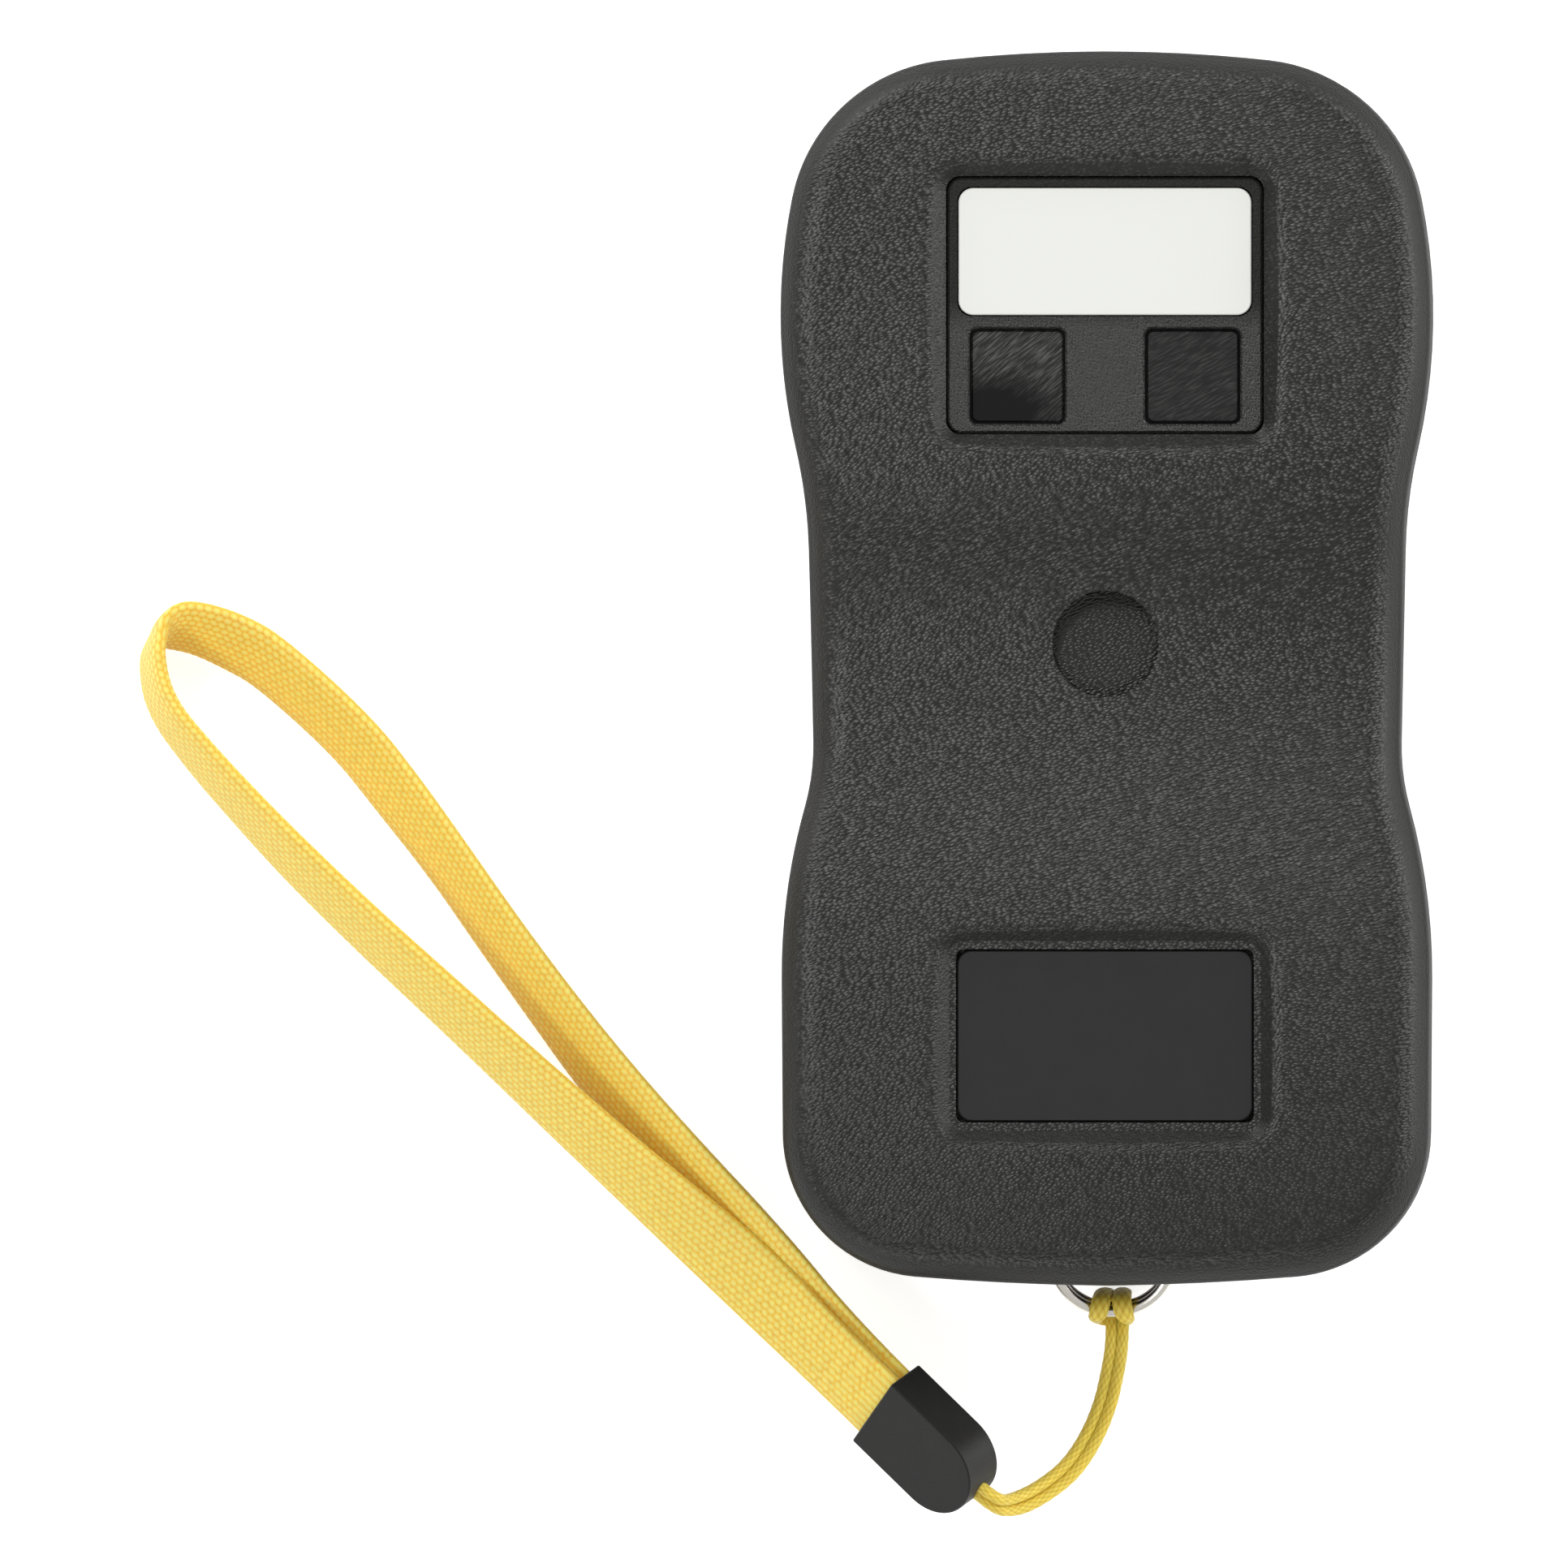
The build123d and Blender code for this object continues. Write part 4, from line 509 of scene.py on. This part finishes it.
def woven_tube(name, path, across, section, outline, relief):
    """A closed tube of yarns along path.

    across is the section's own x direction at each point, section its half width and half
    thickness there, and outline its unit points. relief gives the yarns' height in metres, by the
    way along and the share of the way round. It is kept in the mesh for the material.
    """
    along = np.gradient(path, axis=0)
    along /= np.linalg.norm(along, axis=1, keepdims=True)
    across = across / np.linalg.norm(across, axis=1, keepdims=True)
    through = np.cross(along, across)
    travelled = np.concatenate([[0.0], np.cumsum(np.linalg.norm(np.diff(path, axis=0), axis=1))])
    shape = outline[None, :, :] * section[:, None, :]
    step = np.roll(shape, -1, axis=1) - np.roll(shape, 1, axis=1)
    out = np.stack([step[:, :, 1], -step[:, :, 0]], axis=2)
    out /= np.linalg.norm(out, axis=2, keepdims=True)
    share = np.arange(len(outline)) / len(outline)
    height = relief(travelled[:, None], share[None, :])
    shape = shape + out * (height[:, :, None] - height.max())
    sideways = shape[:, :, :1] * across[:, None, :]
    made = tube_mesh(name, path[:, None, :] + sideways + shape[:, :, 1:] * through[:, None, :])
    scaled = (height - height.min()) / (height.max() - height.min())
    yarn_height = made.data.attributes.new("yarn_height", "FLOAT", "POINT")
    yarn_height.data.foreach_set("value", scaled.ravel())
    place = np.zeros((*height.shape, 3))
    place[:, :, 0] = travelled[:, None]
    place[:, :, 1] = share[None, :]
    yarn_place = made.data.attributes.new("yarn_place", "FLOAT_VECTOR", "POINT")
    yarn_place.data.foreach_set("vector", place.ravel())
    return made


def woven_yarn(name, colours, around, streak):
    """Spun-dyed polyester yarn: a painted highlight on top of each float, painted shade in the gaps."""
    material, tree, shader = new_material(
        name, Roughness=0.5, Specular_IOR_Level=0.35, Sheen_Weight=0.05, Sheen_Roughness=0.4,
        # light goes on between the filaments, and the red part goes farthest
        Subsurface_Weight=0.5, Subsurface_Radius=(1.0, 0.7, 0.3), Subsurface_Scale=0.001,
    )
    height = add_node(tree, "ShaderNodeAttribute", attribute_name="yarn_height").outputs["Fac"]
    place = add_node(tree, "ShaderNodeAttribute", attribute_name="yarn_place").outputs["Vector"]
    scaled = add_node(tree, "ShaderNodeMapping", {"Vector": place, "Scale": (1.0, around, 1.0)})
    drawn = add_node(tree, "ShaderNodeMapping", {"Vector": scaled.outputs[0], "Scale": (0.25, 1.0, 1.0)})
    filaments = add_node(
        tree, "ShaderNodeTexNoise", {"Vector": drawn.outputs[0], "Scale": 1 / streak, "Detail": 2.0}
    )
    bump = add_node(tree, "ShaderNodeBump", {"Height": filaments.outputs[0], "Distance": 0.00004})
    tree.links.new(bump.outputs[0], shader.inputs["Normal"])
    # painted light: deep colour as painted shade in the gaps, pale colour as painted highlight on top
    ramp = add_node(tree, "ShaderNodeValToRGB", {"Fac": height})
    stops = ramp.color_ramp.elements
    stops[0].color = linear(colours[0])
    stops[0].position = 0.0
    stops[1].color = linear(colours[2])
    stops[1].position = 0.98
    middle = stops.new(0.5)
    middle.color = linear(colours[1])
    # the dye takes a little more in some stretches than in others
    dye = add_node(
        tree, "ShaderNodeTexNoise", {"Vector": scaled.outputs[0], "Scale": 900.0, "Detail": 2.0}
    )
    lift = add_node(
        tree, "ShaderNodeMapRange",
        {"Value": dye.outputs[0], "From Min": 0.3, "From Max": 0.7, "To Min": 0.9, "To Max": 1.0},
    )
    shade = add_node(
        tree, "ShaderNodeVectorMath", {0: ramp.outputs["Color"], "Scale": lift.outputs[0]},
        operation="SCALE",
    )
    tree.links.new(shade.outputs[0], shader.inputs["Base Color"])
    return material


CORD_DIAMETER = 0.0015
STRAND_HALF_WIDTH, STRAND_HALF_THICKNESS = 0.00072, 0.00074
BRAID_PITCH, YARNS_EACH_WAY, YARN_RELIEF = 0.0012, 8, 0.000045
CORD_EXIT = CLAMP_MOUTH + CLAMP_AXIS * CLAMP_LENGTH - CLAMP_FACE * 0.0004
# The middle of the two strands from inside the clamp to the ring. The last two numbers are each
# strand's way from it, to its own side and up or down: stacked in the clamp, then side by side.
CORD_ROUTE = [
    (*(CORD_EXIT - CLAMP_AXIS * 0.0036 + Vector((0.0002, -0.0003, 0.0))), 0.0003, 0.0007),
    (*(CORD_EXIT + CLAMP_AXIS * 0.0015 + Vector((0.0003, -0.0004, 0.0))), 0.00055, 0.0006),
    (-0.0106, -0.0930, 0.0043, 0.00069, 0.0003),
    (-0.0074, -0.0915, 0.0026, 0.00067, 0.0002),
    (-0.0037, -0.0885, 0.0014, 0.00066, 0.0),
    (-0.0007, -0.0829, 0.00078, 0.00062, 0.0),
    (0.00062, -0.0769, 0.0012, 0.0006, 0.0),
    (0.00085, -0.0744, 0.0020, 0.00058, 0.0),
    (0.00085, -0.0726, 0.0014, 0.0006, 0.0),
]
# Each ear round the wire: x, y, z, then the cord's half width and half thickness where it is
# squeezed, and the direction of its width. Up inside the ring, back over it and down outside.
LEFT_EAR = [
    (0.0001, -0.0700, 0.0005, 0.0008, 0.0006, (1, 0, 0)),
    (-0.0005, -0.0690, 0.0028, 0.00105, 0.00055, (1, 0, 0)),
    (-0.00084, -0.07015, 0.0054, 0.0011, 0.00055, (1, 0, 0)),
    (-0.0012, -0.0719, 0.0053, 0.0011, 0.00055, (1, 0, 0)),
    (-0.00147, -0.0722, 0.0026, 0.0009, 0.00065, (0.9, 0, 0.4)),
    (-0.0010, -0.0723, 0.0006, 0.0006, 0.00075, (0.2, 0, 1)),
]
RIGHT_EAR = [
    (0.0015, -0.0700, 0.0005, 0.0008, 0.0006, (-1, 0, 0)),
    (0.0015, -0.0690, 0.0028, 0.00105, 0.00055, (-1, 0, 0)),
    (0.0014, -0.07015, 0.0054, 0.0011, 0.00055, (-1, 0, 0)),
    (0.0017, -0.0719, 0.0053, 0.0011, 0.00055, (-1, 0, 0)),
    (0.00206, -0.0724, 0.0026, 0.0009, 0.00065, (-0.9, 0, 0.4)),
    (0.0018, -0.0725, 0.0006, 0.0006, 0.00075, (-0.2, 0, 1)),
]


def strand(side):
    """One strand's rows from the clamp to the ring, with the width level and to the right."""
    rows = []
    for index, (x, y, z, apart, stacked) in enumerate(CORD_ROUTE):
        before = CORD_ROUTE[max(index - 1, 0)]
        after = CORD_ROUTE[min(index + 1, len(CORD_ROUTE) - 1)]
        right = Vector((after[1] - before[1], before[0] - after[0], 0)).normalized()
        here = Vector((x, y, z)) + right * side * apart - Vector((0, 0, side * stacked))
        rows.append((*here, STRAND_HALF_WIDTH, STRAND_HALF_THICKNESS, right * -side))
    return rows


cord_rows = strand(-1) + LEFT_EAR + RIGHT_EAR[::-1] + strand(1)[::-1]
centres = [Vector(row[:3]) for row in cord_rows]
widths = [point + Vector(row[5]).normalized() * row[3] for point, row in zip(centres, cord_rows)]
depths = [(row[4], 0, 0) for row in cord_rows]
cord_path = spline_points(centres, 24)
cord_across = spline_points(widths, 24) - cord_path
cord_depth = spline_points(depths, 24)[:, 0]
cord_section = np.stack([np.linalg.norm(cord_across, axis=1), cord_depth], axis=1)
cord_outline, cord_round = rounded_outline(CORD_DIAMETER / 2, CORD_DIAMETER / 2, 2, 48)


def braid_relief(travelled, share):
    """Sixteen yarns, half of them wound each way, over one and under the next."""
    first = travelled / BRAID_PITCH + YARNS_EACH_WAY * share
    second = travelled / BRAID_PITCH - YARNS_EACH_WAY * share
    over = (np.floor(first) + np.floor(second)) % 2 < 1
    sideways = np.where(over, first % 1, second % 1) - 0.5
    lengthwise = np.where(over, second % 1, first % 1) - 0.5
    crown = np.sqrt(np.clip(1 - 3.2 * sideways**2, 0, 1))
    return YARN_RELIEF * crown * (1 - 1.8 * lengthwise**2)


strap_cord = woven_tube("braided_cord", cord_path, cord_across, cord_section, cord_outline, braid_relief)
strap_cord.data.materials.append(
    woven_yarn("braided_polyester_cord", ("#C4962E", "#EACC4C", "#F8E468"), cord_round, 0.00012)
)
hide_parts("strap_cord")
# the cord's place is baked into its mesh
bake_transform(strap_cord)

# --- Wrist strap ----------------------------------------------------------------------------------
# Flat tubular braid of yellow polyester, about 10 mm wide. It stands on edge round the wrist
# loop, and both its ends go into the clamp, one on the other.

STRAP_WIDTH = 0.0098
STRAP_THICKNESS = 0.0020
STRAP_LIFT = 0.00005
STRAP_IN_CLAMP, STRAP_BEFORE_CLAMP = 0.004, -0.008
FLOAT_COLUMNS, FLOAT_PITCH = 24, 0.00096
FLOAT_HALF_WIDTH, FLOAT_HALF_LENGTH = 0.00052, 0.00064
FLOAT_SLANT, FLOAT_RELIEF = 0.55, 0.0001
# From the clamp round the loop and back: the middle's x and y, and how far the upper edge stands
# off it in x and y. The edge swings over from the inside to the outside at the tip.
STRAP_ROUTE = [
    (-0.04061, -0.06694, 0.00273, 0.00293),
    (-0.05217, -0.05677, 0.00216, 0.00242),
    (-0.06062, -0.04909, 0.00198, 0.00217),
    (-0.06669, -0.04350, 0.00184, 0.00199),
    (-0.07411, -0.03662, 0.00173, 0.00188),
    (-0.08172, -0.02967, 0.00164, 0.00175),
    (-0.08951, -0.02216, 0.00161, 0.00161),
    (-0.09526, -0.01615, 0.00149, 0.00139),
    (-0.10098, -0.00984, 0.00141, 0.00119),
    (-0.10536, -0.00423, 0.00144, 0.00069),
    (-0.10640, 0.00100, 0.00120, 0.00015),
    (-0.10570, 0.00330, 0.00070, 0.00060),
    (-0.10535, 0.00415, 0.00060, 0.00160),
    (-0.10360, 0.00480, 0.00070, 0.00250),
    (-0.10090, 0.00440, 0.00080, 0.00270),
    (-0.09710, 0.00290, 0.00110, 0.00290),
    (-0.09322, 0.00077, 0.00148, 0.00269),
    (-0.08407, -0.00748, 0.00215, 0.00206),
    (-0.07911, -0.01377, 0.00236, 0.00182),
    (-0.07329, -0.02147, 0.00218, 0.00157),
    (-0.06778, -0.02943, 0.00222, 0.00158),
    (-0.06212, -0.03719, 0.00227, 0.00168),
    (-0.05614, -0.04512, 0.00242, 0.00196),
    (-0.04882, -0.05360, 0.00238, 0.00213),
    (-0.03847, -0.06488, 0.00255, 0.00219),
]
layer = CLAMP_FACE * (STRAP_THICKNESS / 2 + 0.00003)
upper = CLAMP_FACE.cross(CLAMP_AXIS).normalized() * STRAP_WIDTH / 2
strap_points = [CLAMP_MOUTH + CLAMP_AXIS * way + layer for way in (STRAP_IN_CLAMP, STRAP_BEFORE_CLAMP)]
edge_points = [point + upper for point in strap_points]
for x, y, off_x, off_y in STRAP_ROUTE:
    off = math.hypot(off_x, off_y)
    tall = math.sqrt((STRAP_WIDTH / 2) ** 2 - off**2)
    high = STRAP_LIFT + tall + off / STRAP_WIDTH * STRAP_THICKNESS
    strap_points.append(Vector((x, y, high)))
    edge_points.append(Vector((x + off_x, y + off_y, high + tall)))
for way in (STRAP_BEFORE_CLAMP, STRAP_IN_CLAMP):
    strap_points.append(CLAMP_MOUTH + CLAMP_AXIS * way - layer)
    edge_points.append(strap_points[-1] + upper)
strap_path = spline_points(strap_points, 48)
strap_across = spline_points(edge_points, 48) - strap_path
strap_outline, strap_round = rounded_outline(STRAP_WIDTH / 2, STRAP_THICKNESS / 2, 2.5, 160)


def float_relief(travelled, share):
    """Slanted oval floats in columns round the webbing, each column half a float on from the next."""
    best = np.zeros(np.broadcast_shapes(travelled.shape, share.shape))
    for shift in (-1, 0, 1):
        column = np.floor(share * FLOAT_COLUMNS) + shift
        sideways = (share - (column + 0.5) / FLOAT_COLUMNS) * strap_round
        half_on = (column % 2) * 0.5
        slant = np.where(column % 2 < 1, FLOAT_SLANT, -FLOAT_SLANT)
        for ahead in (-1, 0, 1):
            row = np.floor(travelled / FLOAT_PITCH - half_on) + ahead
            lengthwise = travelled - (row + 0.5 + half_on) * FLOAT_PITCH
            x = sideways * np.cos(slant) - lengthwise * np.sin(slant)
            y = sideways * np.sin(slant) + lengthwise * np.cos(slant)
            oval = 1 - (x / FLOAT_HALF_WIDTH) ** 2 - (y / FLOAT_HALF_LENGTH) ** 2
            best = np.maximum(best, np.sqrt(np.clip(oval, 0, 1)))
    return FLOAT_RELIEF * best


strap_section = np.tile([STRAP_WIDTH / 2, STRAP_THICKNESS / 2], (len(strap_path), 1))
wrist_strap = woven_tube(
    "wrist_webbing", strap_path, strap_across, strap_section, strap_outline, float_relief
)
wrist_strap.data.materials.append(
    woven_yarn("braided_polyester_webbing", ("#F4AE36", "#FFD44E", "#FFEE84"), strap_round, 0.00016)
)
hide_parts("wrist_strap")
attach(wrist_strap, "remote")

# --- Table, light and camera ----------------------------------------------------------------------
# A white table in a bright room. Three soft boxes stand beyond the far end, two of them high and
# one low on the left. One stands low on the right, and one high near the camera's left.


def white_floor():
    """Matt white board with a glow that only a camera or a gloss sees, so that shadows are grey."""
    material, tree, shader = new_material("white_board", Roughness=0.9)
    shader.inputs["Base Color"].default_value = linear("#F4F4F4")
    shader.inputs["Emission Color"].default_value = linear("#FFFFFF")
    ray = add_node(tree, "ShaderNodeLightPath")
    direct = add_node(
        tree, "ShaderNodeMath",
        {0: ray.outputs["Is Camera Ray"], 1: ray.outputs["Is Glossy Ray"]}, operation="MAXIMUM",
    )
    seen = add_node(
        tree, "ShaderNodeMath",
        {0: direct.outputs[0], 1: ray.outputs["Is Transmission Ray"]}, operation="MAXIMUM",
    )
    glow = add_node(tree, "ShaderNodeMath", {0: seen.outputs[0], 1: 0.7}, operation="MULTIPLY")
    tree.links.new(glow.outputs[0], shader.inputs["Emission Strength"])
    return material


bpy.ops.mesh.primitive_circle_add(vertices=64, radius=3.0, fill_type="NGON", location=(0, 0, -0.00002))
floor = bpy.context.object
floor.name = "table_top"
floor.data.materials.append(white_floor())

# The room is white all round, dimmer on the left, and dim overhead and towards the far end.
world = bpy.data.worlds.new("bright_room")
world.use_nodes = True
bpy.context.scene.world = world
sky = world.node_tree
background = sky.nodes["Background"]
background.inputs["Color"].default_value = (1.0, 1.0, 1.0, 1.0)
around = add_node(sky, "ShaderNodeTexCoord")
way = add_node(sky, "ShaderNodeSeparateXYZ", {0: around.outputs["Generated"]})
sideways = add_node(
    sky, "ShaderNodeMapRange",
    {"Value": way.outputs["X"], "From Min": -1.0, "To Min": 0.5, "To Max": 0.77},
)
dim_way = add_node(
    sky, "ShaderNodeVectorMath",
    {0: around.outputs["Generated"], 1: (0.05, 0.33, 0.94)}, operation="DOT_PRODUCT",
)
overhead = add_node(
    sky, "ShaderNodeMapRange",
    {"Value": dim_way.outputs["Value"], "From Min": 0.8, "From Max": 0.95, "To Min": 1.0, "To Max": 0.3},
)
room = add_node(
    sky, "ShaderNodeMath", {0: sideways.outputs[0], 1: overhead.outputs[0]}, operation="MULTIPLY"
)
sky.links.new(room.outputs[0], background.inputs["Strength"])


def soft_box(name, place, aim, size, power):
    """A soft box at place, turned towards aim."""
    lamp = bpy.data.lights.new(name, "AREA")
    lamp.shape = "RECTANGLE"
    lamp.size, lamp.size_y = size
    lamp.energy = power
    holder = bpy.data.objects.new(name, lamp)
    holder.location = place
    holder.rotation_euler = (Vector(aim) - Vector(place)).to_track_quat("-Z", "Y").to_euler()
    bpy.context.scene.collection.objects.link(holder)


soft_box("far_left_box", (-0.48, 0.66, 0.82), (0, 0, 0), (0.35, 0.35), 2.4)
soft_box("far_right_box", (0.50, 0.66, 0.82), (0, 0, 0), (0.35, 0.35), 2.3)
soft_box("left_box", (-0.6, 0.72, 0.33), (0, 0, 0), (0.6, 0.4), 2.8)
soft_box("right_box", (0.97, 0.18, 0.29), (0, 0, 0), (0.5, 0.5), 4.2)
soft_box("near_box", (-0.55, -0.7, 0.76), (0, 0, 0), (0.4, 0.3), 2.8)

# The photograph is 1932 pixels square, at 0.09 mm a pixel on the face. The object's origin shows
# at ORIGIN_PIXEL. The camera looks down from 1.6 degrees to the right of straight above.
PIXEL = 0.00009
PHOTO_SIDE = 1932
ORIGIN_PIXEL = (1364.3, 823)
FACE_HEIGHT = 0.013
CAMERA_DISTANCE = 7.0
camera_data = bpy.data.cameras.new("camera")
camera_data.sensor_fit = "HORIZONTAL"
camera_data.sensor_width = 36.0
camera_data.lens = 36.0 * CAMERA_DISTANCE / (PHOTO_SIDE * PIXEL)
camera_data.clip_end = 20.0
camera = bpy.data.objects.new("camera", camera_data)
middle = PHOTO_SIDE / 2
aim = Vector(((middle - ORIGIN_PIXEL[0]) * PIXEL, (ORIGIN_PIXEL[1] - middle) * PIXEL, FACE_HEIGHT))
tilt = math.radians(1.6)
camera.location = aim + CAMERA_DISTANCE * Vector((math.sin(tilt), 0, math.cos(tilt)))
camera.rotation_euler = (0, tilt, 0)
bpy.context.scene.collection.objects.link(camera)
bpy.context.scene.camera = camera
bpy.context.scene.view_settings.view_transform = "Standard"
